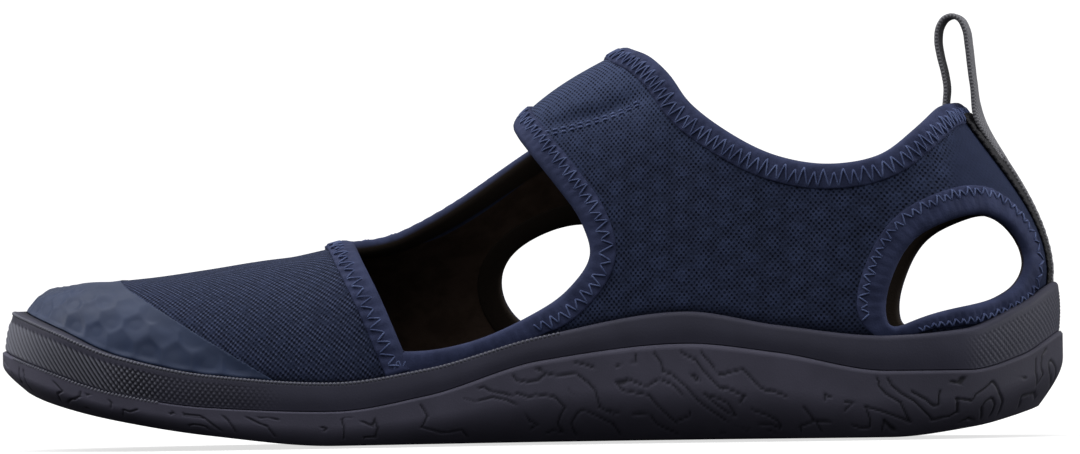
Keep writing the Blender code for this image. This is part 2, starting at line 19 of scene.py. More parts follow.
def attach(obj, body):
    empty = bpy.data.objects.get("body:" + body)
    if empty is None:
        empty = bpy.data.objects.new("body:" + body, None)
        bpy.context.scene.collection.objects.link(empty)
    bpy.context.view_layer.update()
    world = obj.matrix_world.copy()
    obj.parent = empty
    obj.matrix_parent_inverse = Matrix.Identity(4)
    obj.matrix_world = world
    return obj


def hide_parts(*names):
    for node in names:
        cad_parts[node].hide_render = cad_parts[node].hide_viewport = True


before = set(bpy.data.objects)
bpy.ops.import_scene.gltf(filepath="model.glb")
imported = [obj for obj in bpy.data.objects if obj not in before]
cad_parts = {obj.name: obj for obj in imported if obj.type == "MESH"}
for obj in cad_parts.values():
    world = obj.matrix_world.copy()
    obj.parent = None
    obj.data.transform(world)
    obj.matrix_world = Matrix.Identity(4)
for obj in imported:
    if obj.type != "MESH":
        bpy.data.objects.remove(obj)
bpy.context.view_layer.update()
MM = 0.001


def put(name, data):
    """A new object of the scene, made from its data."""
    made = bpy.data.objects.new(name, data)
    bpy.context.scene.collection.objects.link(made)
    return made


# %% [markdown]
# ## Camera
# The photograph is taken from the arch side, level with the shoe, with a long lens.  A camera two
# metres away, turned a little towards the heel and rolled by less than a degree, sees the same.

# %% Camera
PHOTO_WIDTH = 1080
MM_PER_PIXEL = 0.1987
SENSOR = 36.0
CAMERA_DISTANCE = 2.0
CAMERA_TURN = math.radians(5.0)
CAMERA_RISE = math.radians(-0.4)
CAMERA_ROLL = math.radians(-0.9)
AIM_ACROSS = 1.6 * MM
AIM_UP = 42.4 * MM

view = bpy.data.cameras.new("camera")
view.sensor_width = SENSOR
view.lens = SENSOR * CAMERA_DISTANCE / (PHOTO_WIDTH * MM_PER_PIXEL * MM)
camera = put("camera", view)
towards = Vector((
    math.sin(CAMERA_TURN) * math.cos(CAMERA_RISE),
    -math.cos(CAMERA_TURN) * math.cos(CAMERA_RISE),
    math.sin(CAMERA_RISE)))
aim = Vector((math.cos(CAMERA_TURN) * AIM_ACROSS, math.sin(CAMERA_TURN) * AIM_ACROSS, AIM_UP))
camera.location = aim + towards * CAMERA_DISTANCE
camera.rotation_euler = (-towards).to_track_quat("-Z", "Y").to_euler()
camera.rotation_euler.rotate_axis("Z", CAMERA_ROLL)
bpy.context.scene.camera = camera
print("lens", round(view.lens), "mm")

# %% [markdown]
# ## The last
# A shoe is built on a last, a solid foot shape.  Its form could be sculpted, but a maker draws it as
# sections, so it is worked out here from two tables: the sole's edge and the ridge at sixteen
# stations, and the heights along the sole.  Smooth curves run through both.

# %% Stations of the last and heights of the sole
LENGTH = 210.0
BALL_WIDTH = 82.0
INSTEP_HEIGHT = 77.7
HEEL_TOP = 66.0
UPPER_WALL = 2.0
GAP = 0.3

Station = namedtuple(
    "Station",
    "medial_x medial_y lateral_x lateral_y spine_x spine_y ridge square lean foot_tuck inset")

# x is a share of LENGTH, y of BALL_WIDTH and ridge of INSTEP_HEIGHT; inset is in millimetres
STATIONS = [
    Station(-0.500, -0.098, -0.500, -0.098, -0.433, -0.073, 0.414, 2.9, 0.00, 0.00, 3.9),
    Station(-0.491, -0.226, -0.492, 0.037, -0.421, -0.070, 0.417, 2.9, 0.00, 0.00, 3.8),
    Station(-0.464, -0.348, -0.467, 0.171, -0.403, -0.063, 0.421, 2.8, 0.00, 0.00, 3.6),
    Station(-0.419, -0.437, -0.421, 0.293, -0.379, -0.055, 0.426, 2.7, 0.00, 0.00, 3.4),
    Station(-0.355, -0.487, -0.350, 0.402, -0.338, -0.037, 0.438, 2.5, 0.00, 0.00, 3.2),
    Station(-0.271, -0.500, -0.257, 0.478, -0.262, -0.018, 0.468, 2.35, 0.00, 0.00, 3.2),
    Station(-0.181, -0.473, -0.152, 0.500, -0.171, 0.000, 0.514, 2.25, 0.00, 0.00, 3.2),
    Station(-0.086, -0.415, -0.052, 0.485, -0.076, 0.012, 0.656, 2.15, 0.00, 0.00, 3.2),
    Station(0.000, -0.368, 0.038, 0.454, 0.010, 0.018, 0.864, 2.15, 0.00, 0.00, 3.2),
    Station(0.086, -0.346, 0.114, 0.427, 0.093, 0.018, 1.000, 2.2, 0.00, 0.00, 3.2),
    Station(0.171, -0.351, 0.190, 0.410, 0.171, 0.012, 1.120, 2.3, 0.00, 0.00, 3.2),
    Station(0.257, -0.365, 0.267, 0.400, 0.238, 0.006, 1.210, 2.4, 0.05, 0.01, 3.0),
    Station(0.333, -0.361, 0.338, 0.385, 0.276, 0.000, 1.261, 2.5, 0.12, 0.02, 2.8),
    Station(0.410, -0.311, 0.412, 0.329, 0.289, 0.000, 1.274, 2.6, 0.32, 0.05, 2.4),
    Station(0.469, -0.183, 0.470, 0.195, 0.295, 0.000, 1.278, 2.8, 0.57, 0.08, 1.9),
    Station(0.500, 0.006, 0.500, 0.006, 0.297, 0.000, 1.280, 3.0, 0.65, 0.09, 1.8),
]

Height = namedtuple(
    "Height",
    "x bottom floor part_medial part_lateral rim_medial rim_lateral tuck_medial tuck_lateral")

# Tread, footbed floor, parting line of outsole and rand, rim, and the tuck of the tread's edge, in mm
HEIGHTS = [
    Height(-105, 13.5, 19.0, 19.4, 19.4, 27.2, 27.2, 4.5, 4.5),
    Height(-93, 9.0, 15.2, 15.2, 15.0, 23.4, 23.4, 4.2, 4.2),
    Height(-80, 5.7, 12.0, 11.0, 10.8, 18.4, 18.2, 3.5, 3.5),
    Height(-60, 2.3, 8.9, 7.8, 7.6, 14.2, 14.0, 2.8, 2.8),
    Height(-36, 0.0, 7.5, 6.7, 6.6, 12.4, 12.4, 2.4, 2.4),
    Height(-18, 0.0, 7.6, 9.5, 7.2, 14.8, 12.9, 4.5, 2.6),
    Height(4, 0.0, 8.2, 16.0, 8.6, 20.8, 14.2, 7.5, 3.0),
    Height(32, 0.0, 9.2, 18.9, 10.8, 25.2, 16.4, 8.5, 3.4),
    Height(50, 0.0, 9.9, 16.9, 12.0, 22.3, 18.2, 7.0, 3.5),
    Height(72, 0.0, 10.6, 13.0, 12.9, 19.9, 19.6, 4.0, 3.6),
    Height(88, 1.8, 11.3, 12.9, 12.9, 21.0, 21.0, 3.8, 3.8),
    Height(98, 4.6, 11.8, 15.6, 15.6, 25.2, 25.2, 4.4, 4.4),
    Height(105, 8.0, 12.0, 20.2, 20.2, 30.0, 30.0, 5.0, 5.0),
]
LEAN_RISES = (0.22, 0.95)
TUCK_RISES = (0.0, 0.24)
print(len(STATIONS), "stations and", len(HEIGHTS), "heights")

# %% Curves through the tables


def closed_spline(knots, values, at):
    """Smooth closed curve through the values; the last knot closes it on the first value."""
    count = len(values)
    span = np.diff(knots)
    slope = (np.roll(values, -1, axis=0) - values) / span[:, None]
    system = np.zeros((count, count))
    for i in range(count):
        system[i, i - 1] += span[i - 1]
        system[i, i] += 2.0 * (span[i - 1] + span[i])
        system[i, (i + 1) % count] += span[i]
    bend = np.linalg.solve(system, 6.0 * (slope - np.roll(slope, 1, axis=0)))
    left = np.clip(np.searchsorted(knots, at, side="right") - 1, 0, count - 1)
    right = (left + 1) % count
    width = span[left][:, None]
    b = (at - knots[left])[:, None] / width
    a = 1.0 - b
    curve = a * values[left] + b * values[right]
    return curve + ((a ** 3 - a) * bend[left] + (b ** 3 - b) * bend[right]) * width ** 2 / 6.0


def hermite(knots, values, tangents, at):
    """Cubic curve through values with the given tangents."""
    i = np.clip(np.searchsorted(knots, at, side="right") - 1, 0, len(knots) - 2)
    shape = (-1,) + (1,) * (values.ndim - 1)
    width = np.reshape(knots[i + 1] - knots[i], shape)
    t = np.reshape(at - knots[i], shape) / width
    curve = values[i] * (1 + 2 * t) * (1 - t) ** 2 + values[i + 1] * t * t * (3 - 2 * t)
    return curve + width * (tangents[i] * t * (1 - t) ** 2 - tangents[i + 1] * t * t * (1 - t))


def height(column, x):
    """A column of HEIGHTS at x, by cubics that never pass the table's own values."""
    table_x = np.array([row.x for row in HEIGHTS], dtype=float)
    table_y = np.array([getattr(row, column) for row in HEIGHTS], dtype=float)
    slope = np.diff(table_y) / np.diff(table_x)
    tangent = np.zeros_like(table_y)
    same_way = slope[:-1] * slope[1:] > 0.0
    mean = 2.0 * slope[:-1] * slope[1:] / np.where(same_way, slope[:-1] + slope[1:], 1.0)
    tangent[1:-1] = np.where(same_way, mean, 0.0)
    tangent[0], tangent[-1] = slope[0], slope[-1]
    return hermite(table_x, table_y, tangent, np.clip(x, table_x[0], table_x[-1]))


def smooth_step(low, high, value):
    """0 at low, 1 at high and smooth between; low may be the larger."""
    t = np.clip((value - low) / (high - low), 0.0, 1.0)
    return t * t * (3.0 - 2.0 * t)


def unit(vectors):
    """The same directions, made one long."""
    return vectors / np.linalg.norm(vectors, axis=-1, keepdims=True)


def lengths(points):
    """Lengths along a line, or up each column of a grid, from 0 at the first point."""
    steps = np.linalg.norm(np.diff(points, axis=0), axis=-1)
    return np.concatenate([np.zeros_like(steps[:1]), np.cumsum(steps, axis=0)])


print("highest rim at the arch", max(row.rim_medial for row in HEIGHTS[5:9]), "mm")

# %% Sections of the last
Section = namedtuple("Section", "edge outward spine ridge square lean foot_tuck inset medial")


def last_nodes():
    """The stations as one closed loop from the heel along the arch, round the toe and back."""
    def row(s, x, y):
        return (x * LENGTH, y * BALL_WIDTH, s.spine_x * LENGTH, s.spine_y * BALL_WIDTH,
                s.ridge * INSTEP_HEIGHT, s.square, s.lean, s.foot_tuck, s.inset)

    medial = np.array([row(s, s.medial_x, s.medial_y) for s in STATIONS])
    lateral = np.array([row(s, s.lateral_x, s.lateral_y) for s in STATIONS])
    stride = [np.linalg.norm(np.diff(side[:, :2], axis=0), axis=1) for side in (medial, lateral)]
    stride = np.mean(stride, axis=0)
    knots = np.concatenate([[0.0], np.cumsum(np.concatenate([stride[::-1], stride]))])
    return np.concatenate([medial[::-1], lateral[1:-1]]), knots


NODES, KNOTS = last_nodes()
GIRTH = KNOTS[-1]
TOE = KNOTS[len(STATIONS) - 1]


def sections(place):
    """The last's sections at places along the loop, where 0 is the heel and TOE the toe."""
    place = np.mod(place, GIRTH)
    step = 0.01
    columns = closed_spline(KNOTS, NODES, place)
    ahead = closed_spline(KNOTS, NODES, np.mod(place + step, GIRTH))[:, :2]
    behind = closed_spline(KNOTS, NODES, np.mod(place - step, GIRTH))[:, :2]
    along = unit(ahead - behind)
    outward = np.stack([-along[:, 1], along[:, 0]], axis=1)
    return Section(columns[:, 0:2], outward, columns[:, 2:4], *columns[:, 4:9].T, place < TOE)


def by_side(name, x, medial):
    """The rim, the parting line or the tuck at x, each point from its own side's column."""
    return np.where(medial, height(name + "_medial", x), height(name + "_lateral", x))


def side_height(section, name):
    """The same at the edge of each section."""
    return by_side(name, section.edge[:, 0], section.medial)


def inset_edge(section, distance):
    """The sole's edge, moved inwards."""
    return section.edge - section.outward * np.reshape(distance, (-1, 1))


def lift(xy, z):
    """Flat points set at a height."""
    return np.concatenate([xy, np.broadcast_to(np.reshape(z, (-1, 1)), (len(xy), 1))], axis=1)


def last_point(section, rise, grow=0.0):
    """Points on the last, where rise runs from 0 at its foot to 1 on its ridge."""
    foot = inset_edge(section, section.inset - grow)
    foot_z = height("floor", foot[:, 0]) + GAP
    rise = np.broadcast_to(rise, (len(foot),))
    reach = (1.0 - rise ** section.square) ** (1.0 / section.square)
    reach = reach * (1.0 - section.lean * smooth_step(*LEAN_RISES, rise))
    reach = reach * (1.0 - section.foot_tuck * (1.0 - smooth_step(*TUCK_RISES, rise)))
    xy = section.spine + (foot - section.spine) * reach[:, None]
    return lift(xy, foot_z + (section.ridge - foot_z) * rise)


def last_rows(section, rises):
    """Rows of points on the last, one for each rise."""
    return np.array([last_point(section, rise) for rise in rises])


def rise_at(section, z):
    """The rise at which each section reaches a height."""
    foot_z = height("floor", inset_edge(section, section.inset)[:, 0]) + GAP
    return np.clip((z - foot_z) / (section.ridge - foot_z), 0.0, 1.0)


def even_rises(section, start, stop, levels):
    """Rises spaced evenly round each section, between a starting and a stopping rise."""
    power = section.square / 2.0
    first = np.arcsin(np.clip(start, 0.0, 1.0) ** power)
    last = np.arcsin(np.clip(stop, 0.0, 1.0) ** power)
    angles = [first + (last - first) * k / (levels - 1) for k in range(levels)]
    return [np.maximum(np.sin(angle), 0.0) ** (1.0 / power) for angle in angles]


print("girth of the sole's edge", round(GIRTH), "mm")

# %% [markdown]
# ## Hand tools
# Every piece starts as a flat primitive grid, as cloth starts as a flat cut.  Its corners are then
# laid on the last, and edit-mode operators and modifiers finish it.  The helpers below select one
# piece alone, lay a grid, weld seams, join copies and hand a finished piece to the frame.

# %% Selecting, grids, welding and modifiers
WELD_REACH = 0.002


def only(piece):
    """Select this piece alone and make it active."""
    bpy.ops.object.select_all(action="DESELECT")
    piece.select_set(True)
    bpy.context.view_layer.objects.active = piece


@contextmanager
def editing(piece, chosen=None):
    """Edit mode on this piece alone, with all its vertices selected or only the chosen ones."""
    only(piece)
    bpy.ops.object.mode_set(mode="EDIT")
    bpy.ops.mesh.select_all(action="SELECT" if chosen is None else "DESELECT")
    if chosen is not None:
        bpy.ops.object.mode_set(mode="OBJECT")
        piece.data.vertices.foreach_set("select", chosen)
        bpy.ops.object.mode_set(mode="EDIT")
    yield
    bpy.ops.object.mode_set(mode="OBJECT")


def grid(name, points, *values):
    """A primitive grid laid on rows of points in millimetres, with two cloth coordinates if given."""
    points = np.array(points)
    rows, columns = points.shape[0] - 1, points.shape[1] - 1
    bpy.ops.mesh.primitive_grid_add(x_subdivisions=columns, y_subdivisions=rows, size=2.0)
    piece = bpy.context.object
    piece.name = name
    mesh = piece.data
    mesh.name = name
    flat = np.empty(len(mesh.vertices) * 3)
    mesh.vertices.foreach_get("co", flat)
    share = (flat.reshape(-1, 3)[:, :2] + 1.0) / 2.0
    i = np.rint(share[:, 0] * columns).astype(int)
    j = np.rint(share[:, 1] * rows).astype(int)
    mesh.vertices.foreach_set("co", (points[j, i] * MM).ravel())
    if values:
        uv = np.stack([np.broadcast_to(value, points.shape[:2]) for value in values], axis=2)
        corner = np.empty(len(mesh.loops), dtype=int)
        mesh.loops.foreach_get("vertex_index", corner)
        mesh.uv_layers[0].data.foreach_set("uv", uv[j, i][corner].ravel())
    mesh.update()
    return piece


def weld(piece, fill=False):
    """Merge a grid's seams, close open ends if asked, and turn its faces outwards."""
    with editing(piece):
        bpy.ops.mesh.remove_doubles(threshold=WELD_REACH * MM)
        if fill:
            bpy.ops.mesh.select_all(action="DESELECT")
            bpy.ops.mesh.select_mode(type="EDGE")
            bpy.ops.mesh.select_non_manifold(extend=False)
            bpy.ops.mesh.fill_holes(sides=0)
            bpy.ops.mesh.select_mode(type="VERT")
            bpy.ops.mesh.select_all(action="SELECT")
        bpy.ops.mesh.normals_make_consistent(inside=False)


def modify(piece, kind, **settings):
    """Add a modifier with its settings and apply it."""
    only(piece)
    modifier = piece.modifiers.new(kind.lower(), kind)
    for key, value in settings.items():
        setattr(modifier, key, value)
    bpy.ops.object.modifier_apply(modifier=modifier.name)


print("grids weld within", WELD_REACH, "mm")

# %% Vertices, copies, marks and the frame


def corners(piece):
    """A piece's vertices in millimetres, and their normals."""
    count = len(piece.data.vertices)
    place, normal = np.empty(count * 3), np.empty(count * 3)
    piece.data.vertices.foreach_get("co", place)
    piece.data.vertices.foreach_get("normal", normal)
    return place.reshape(-1, 3) / MM, normal.reshape(-1, 3)


def move_corners(piece, place):
    """Set a piece's vertices, given in millimetres."""
    piece.data.vertices.foreach_set("co", (place * MM).ravel())
    piece.data.update()


def face_out(piece):
    """Turn an open piece's faces away from its middle."""
    place, normal = corners(piece)
    if np.sum((place - place.mean(axis=0)) * normal) < 0.0:
        with editing(piece):
            bpy.ops.mesh.flip_normals()


def joined(name, shapes, faces):
    """One mesh of many copies, with corners given copy by copy and faces that are all alike."""
    count, size = shapes.shape[:2]
    every = [tuple(i * size + v for v in face) for i in range(count) for face in faces]
    mesh = bpy.data.meshes.new(name)
    mesh.from_pydata((shapes.reshape(-1, 3) * MM).tolist(), [], every)
    return put(name, mesh)


def mark(piece, name, value):
    """Keep a number for each vertex, for the finish to read."""
    layer = piece.data.attributes.new(name, "FLOAT", "POINT")
    layer.data.foreach_set("value", np.asarray(value, dtype=np.float32))


def corner_values(piece):
    """The cloth coordinates as numbers for each vertex."""
    mesh = piece.data
    flat = np.empty(len(mesh.loops) * 2)
    mesh.uv_layers[0].data.foreach_get("uv", flat)
    corner = np.empty(len(mesh.loops), dtype=int)
    mesh.loops.foreach_get("vertex_index", corner)
    value = np.zeros((len(mesh.vertices), 2))
    value[corner] = flat.reshape(-1, 2)
    return value


def mark_values(piece, *names):
    """Keep the first cloth coordinate, or both, as named marks."""
    for name, value in zip(names, corner_values(piece).T):
        mark(piece, name, value)


def hand_over(piece, slot, finishes, *nodes):
    """Smooth a finished piece, give it its finish and tie it to the frame."""
    only(piece)
    bpy.ops.object.shade_smooth()
    if not piece.data.materials:
        for finish in finishes:
            piece.data.materials.append(finish)
    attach(piece, "root")
    if nodes:
        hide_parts(*nodes)
    piece.data.calc_loop_triangles()
    place, _ = corners(piece)
    print(piece.name, len(piece.data.loop_triangles), "triangles",
          place.min(axis=0).round(1), place.max(axis=0).round(1))


print("tools ready")

# %% [markdown]
# ## Shader maths
# A finish is a small network of nodes.  Written node by node it is hard to read, so one class wraps
# a socket and lets plain Python sums add the Math nodes.  Colours go through Mix nodes, because a
# Math node would turn them grey.

# %% A socket that does sums


class Wire:
    """One output of a node tree; sums with it add Math nodes."""

    def __init__(self, tree, socket=None):
        self.tree = tree
        self.socket = socket

    def node(self, kind, inputs, output=0, **settings):
        """Add a node, set its settings, then feed its sockets with values or other wires."""
        made = self.tree.nodes.new(kind)
        for key, value in settings.items():
            setattr(made, key, value)
        for key, value in inputs.items():
            if isinstance(value, Wire):
                self.tree.links.new(value.socket, made.inputs[key])
            else:
                made.inputs[key].default_value = value
        return Wire(self.tree, made.outputs[output])

    def sum(self, operation, *values):
        """One Math node."""
        return self.node("ShaderNodeMath", dict(enumerate(values)), operation=operation)

    def __add__(self, other):
        return self.sum("ADD", self, other)

    def __sub__(self, other):
        return self.sum("SUBTRACT", self, other)

    def __rsub__(self, other):
        return self.sum("SUBTRACT", other, self)

    def __mul__(self, other):
        return self.sum("MULTIPLY", self, other)

    def wave(self, pitch):
        """A wave from -1 to 1 along this wire, with its crest at 0."""
        return self.sum("COSINE", self * (2.0 * math.pi / pitch))

    def part(self, axis):
        """One axis of a vector."""
        return self.node("ShaderNodeSeparateXYZ", {0: self}, output="XYZ".index(axis))

    def step(self, low, high):
        """0 below low, 1 above high and smooth between."""
        ends = {"Value": self, "From Min": low, "From Max": high}
        return self.node("ShaderNodeMapRange", ends, interpolation_type="SMOOTHSTEP")

    def colours(self, low, high):
        """A colour that goes from low to high as this wire goes from 0 to 1."""
        low, high = [c if isinstance(c, Wire) else (*c, 1.0) for c in (low, high)]
        return self.node("ShaderNodeMix", {0: self, 6: low, 7: high}, output=2, data_type="RGBA")

    def noise(self, scale, detail=3.0):
        """Soft random values from 0 to 1."""
        return self.node("ShaderNodeTexNoise", {"Vector": self, "Scale": scale, "Detail": detail})


print("a wire can", [name for name in vars(Wire) if name[0] != "_"])

# %% A material in the making


class Finish:
    """A material's shader, and the wires that it reads."""

    def __init__(self, name, roughness, **sockets):
        self.material = bpy.data.materials.new(name)
        self.material.use_nodes = True
        self.tree = self.material.node_tree
        self.shader = self.tree.nodes["Principled BSDF"]
        self.shader.inputs["Roughness"].default_value = roughness
        for key, value in sockets.items():
            self.shader.inputs[key.replace("_", " ")].default_value = value
        self.start = Wire(self.tree)

    def uv(self):
        """Cloth coordinates in millimetres."""
        return self.start.node("ShaderNodeUVMap", {}, uv_map="UVMap")

    def place(self):
        """Object coordinates in millimetres."""
        wire = self.start.node("ShaderNodeTexCoord", {}, output=3)
        return self.start.node("ShaderNodeVectorMath", {0: wire, "Scale": 1.0 / MM}, operation="SCALE")

    def mark(self, name):
        """The number kept for each vertex under a name."""
        return self.start.node("ShaderNodeAttribute", {}, output=2, attribute_name=name)

    def feed(self, socket, wire):
        """Let a wire drive a socket of the shader."""
        self.tree.links.new(wire.socket, self.shader.inputs[socket])

    def bump(self, wire, depth, strength=1.0):
        """Raise the surface by a wire, depth millimetres at most."""
        bump = {"Strength": strength, "Distance": depth * MM, "Height": wire}
        self.feed("Normal", self.start.node("ShaderNodeBump", bump))


print("a finish can", [name for name in vars(Finish) if name[0] != "_"])

# %% [markdown]
# ## Finishes
# The upper is a navy air mesh: fine dark holes in offset rows, a millimetre apart along the cloth,
# over faint larger cells.  The product of two waves gives such rows in a few nodes, where an image
# would be needed otherwise.  Light knots, painted highlights, lie between the holes, most of all on
# the vamp, and the holes thin out on the plain panel at the heel.  The yarn is painted lighter high
# on the strap as painted light from above, and painted as dark as the holes just above the rand's
# rim as a painted shadow.

# %% Mesh fabric
MESH_PITCH = 1.0
MESH_ROW = 0.60
CELL_PITCH = 4.5
YARN = (0.033, 0.045, 0.096)
YARN_SHADE = (0.018, 0.0235, 0.047)
# Painted highlight: the colour of the light knots between the holes
KNOT_HIGHLIGHT = (0.085, 0.102, 0.185)
# The next colour and the heights below paint the strap's top lighter, as painted light from above
STRAP_LIT_YARN = (0.058, 0.077, 0.150)
HOLE = (0.003, 0.004, 0.010)
PANEL = (0.0165, 0.022, 0.049)
HEEL_PANEL_X = (82.0, 86.0)
STRAP_LIGHT_Z = (52.0, 72.0)
VAMP_X = (-14.0, -26.0)


def mesh_fabric():
    """The air mesh: holes, knots painted as highlights and cells, over a yarn painted lighter on the
    strap as painted light and dark above the rim as painted shadow.
    """
    finish = Finish("mesh_fabric", 0.8, Specular_IOR_Level=0.05)
    cloth = finish.uv()
    wobble = cloth.noise(0.35) * 0.5
    along, up = cloth.part("X") + wobble, cloth.part("Y") + wobble
    rows = along.wave(MESH_PITCH) * up.wave(2.0 * MESH_ROW)
    slant, rise = along * 0.5, up * 0.866
    cells = [way.wave(CELL_PITCH) for way in (along, slant + rise, slant - rise)]
    cells = (cells[0] + cells[1] + cells[2]).step(-1.2, 2.0)
    place = finish.place()
    mesh = 1.0 - place.part("X").step(*HEEL_PANEL_X) * 0.85
    vamp = place.part("X").step(*VAMP_X)
    uneven = place.noise(0.8, 1.0).step(0.30, 0.62) * mesh
    holes = rows.step(0.0, 0.65) * (uneven * 0.55 + mesh * 0.45)
    # Knots: painted highlights between the holes, strongest on the vamp
    knots = (0.0 - rows).step(0.25, 0.95) * uneven * (vamp * 0.52 + 0.12)
    tone = place.noise(0.09).step(0.3, 0.7)
    # Strap: the yarn is painted lighter higher up, as painted light from above
    strap = place.part("Z").step(*STRAP_LIGHT_Z)
    streaks = finish.start.node("ShaderNodeCombineXYZ", {0: along * 0.35, 1: up * 1.8}).noise(1.0)
    depth = cells * 0.35 + tone * 0.2 + streaks.step(0.35, 0.65) * 0.35
    yarn = (depth * (1.0 - vamp * 0.60)).colours(YARN_SHADE, YARN)
    yarn = (strap * 0.55).colours(yarn, STRAP_LIT_YARN)
    yarn = mesh.colours(PANEL, knots.colours(yarn, KNOT_HIGHLIGHT))
    # Painted shadow: the yarn turns as dark as the holes just above the rand's rim
    yarn = finish.mark("foot").colours(yarn, HOLE)
    finish.feed("Base Color", (holes * 0.92).colours(yarn, HOLE))
    finish.bump(cells * 0.35 - holes, 0.20, 0.8)
    return finish.material


MESH_FABRIC = mesh_fabric()
print(MESH_FABRIC.name, len(MESH_FABRIC.node_tree.nodes), "nodes")

# %% [markdown]
# The lining is a near-black knit, the bindings are a smooth elastic tape and the thread a lighter
# blue.  They differ by colour, gloss and a fine bump only, and the bindings' inner folds are painted
# near black as painted shade.

# %% Lining, binding, thread and footbed
# Painted shade: near black for the inner fold of the bindings, whose tape is navy on both sides
INSIDE_SHADE = (0.020, 0.015, 0.012)


def cloth_finish(name, colour, shade, roughness, grain, depth, gloss):
    """A plain cloth: two tones by soft noise, a fine grain, and painted shade, near black, where it is
    marked inside.
    """
    finish = Finish(name, roughness, Specular_IOR_Level=gloss)
    place = finish.place()
    face = place.noise(0.25).step(0.35, 0.65).colours(shade, colour)
    finish.feed("Base Color", finish.mark("inside").colours(face, INSIDE_SHADE))
    finish.bump(place.noise(grain, 2.0), depth, 0.6)
    return finish.material


LINING, BINDING, THREAD, FOOTBED = [cloth_finish(*row) for row in (
    ("lining", (0.054, 0.037, 0.029), (0.038, 0.026, 0.020), 0.9, 2.5, 0.15, 0.0),
    ("binding", (0.034, 0.042, 0.092), (0.025, 0.031, 0.069), 0.7, 2.2, 0.12, 0.06),
    ("thread", (0.085, 0.110, 0.220), (0.045, 0.060, 0.135), 0.6, 3.0, 0.05, 0.10),
    ("footbed", (0.012, 0.012, 0.015), (0.008, 0.008, 0.010), 0.85, 3.0, 0.15, 0.05))]
print("cloths", [m.name for m in (LINING, BINDING, THREAD, FOOTBED)])

# %% [markdown]
# The toe cap is a satin film pressed onto the mesh, the rand and outsole are matt rubber, and the
# loop and heel tape are woven ribbon.  The rubber reads marks kept on its vertices, so that the
# floors of its grooves are painted darker than its faces as painted shade, and its knurl tips and
# beads are painted light as painted highlights.  The outsole is painted darker towards the heel too,
# as painted shade.

# %% Film, rubber and webbing
FILM = (0.028, 0.040, 0.081)
FILM_SHADE = (0.022, 0.032, 0.066)
# Painted highlight: the colour of the knurl's tips and of the beads
TIP_HIGHLIGHT = (0.17, 0.175, 0.21)
RUBBER_SHADE = 0.88
# Painted shade: the lengths along x over which the outsole is painted darker towards the heel
PAINTED_SHADE_HEEL_X = (50.0, 95.0)
WEAVE_ACROSS = 0.9
WEAVE_ALONG = 0.7


def cap_film():
    """A satin film in two close tones."""
    finish = Finish("cap_film", 0.46, Specular_IOR_Level=0.10)
    place = finish.place()
    tone = place.noise(0.12).step(0.3, 0.7)
    finish.feed("Base Color", tone.colours(FILM_SHADE, FILM))
    finish.feed("Roughness", tone * 0.10 + 0.40)
    finish.bump(place.noise(3.0), 0.03, 0.5)
    return finish.material


def rubber(name, colour, painted_shade_colour, roughness, painted_heel_shade=0.0):
    """Matt rubber, painted dark in its grooves and light on its tips, painted shade and highlights, and
    painted darker towards the heel if asked.
    """
    finish = Finish(name, roughness, Specular_IOR_Level=0.15)
    place = finish.place()
    groove = finish.mark("groove")
    tone = place.noise(0.15).step(0.3, 0.7)
    face = tone.colours(tuple(RUBBER_SHADE * c for c in colour), colour)
    # Painted shade: the rubber is painted darker towards the heel, if asked
    heel = place.part("X").step(*PAINTED_SHADE_HEEL_X) * painted_heel_shade
    # Painted shade: the marked groove floors take the shade colour
    face = (groove + heel).colours(face, painted_shade_colour)
    # Painted highlight: the marked tips take a light colour
    finish.feed("Base Color", finish.mark("tip").colours(face, TIP_HIGHLIGHT))
    finish.feed("Roughness", place.noise(0.6) * 0.16 + (roughness - 0.08))
    finish.bump(place.noise(2.6), 0.05, 0.6)
    return finish.material


def webbing(name, light, dark):
    """A woven ribbon, whose cloth coordinates run across and along it."""
    finish = Finish(name, 0.7, Specular_IOR_Level=0.2)
    cloth = finish.uv()
    weave = cloth.part("X").wave(WEAVE_ACROSS) * cloth.part("Y").wave(WEAVE_ALONG) * 0.5 + 0.5
    finish.feed("Base Color", weave.colours(dark, light))
    finish.bump(weave, 0.12, 0.8)
    return finish.material


CAP_FILM = cap_film()
RAND_RUBBER = rubber("rim_rubber", (0.037, 0.037, 0.058), (0.013, 0.013, 0.020), 0.62)
SOLE_RUBBER = rubber("sole_rubber", (0.066, 0.064, 0.094), (0.017, 0.017, 0.024), 0.66, 0.45)
GREY_WEBBING = webbing("grey_webbing", (0.21, 0.21, 0.23), (0.07, 0.07, 0.08))
BLACK_WEBBING = webbing("black_webbing", (0.017, 0.017, 0.021), (0.008, 0.008, 0.010))
print("finishes", [m.name for m in bpy.data.materials])

# %% [markdown]
# ## The upper's skin
# The mesh upper is a skin two millimetres thick, sewn close to the last.  A grid of the last's own
# sections gives its form, a few listed soft troughs and ridges give its creases, and the
# cloth coordinates run along the sole and up the girth, so that the weave keeps its size.

# %% Creases and presses of the skin
TAPE_PRESS = 9.0
TAPE_PRESS_X = (76.0, 88.0)
TAPE_PRESS_LEAST = 0.4
TAPE_TAPER_Z = (60.0, 36.0)
CAP_PRESS = 0.5
CAP_PRESS_RAMP = (-1.0, 2.0)
CAP_EDGE_FOOT = (-50.3, 14.5)
CAP_EDGE_TOP = (-78.8, 31.8)

Crease = namedtuple("Crease", "x z side turn length width depth")

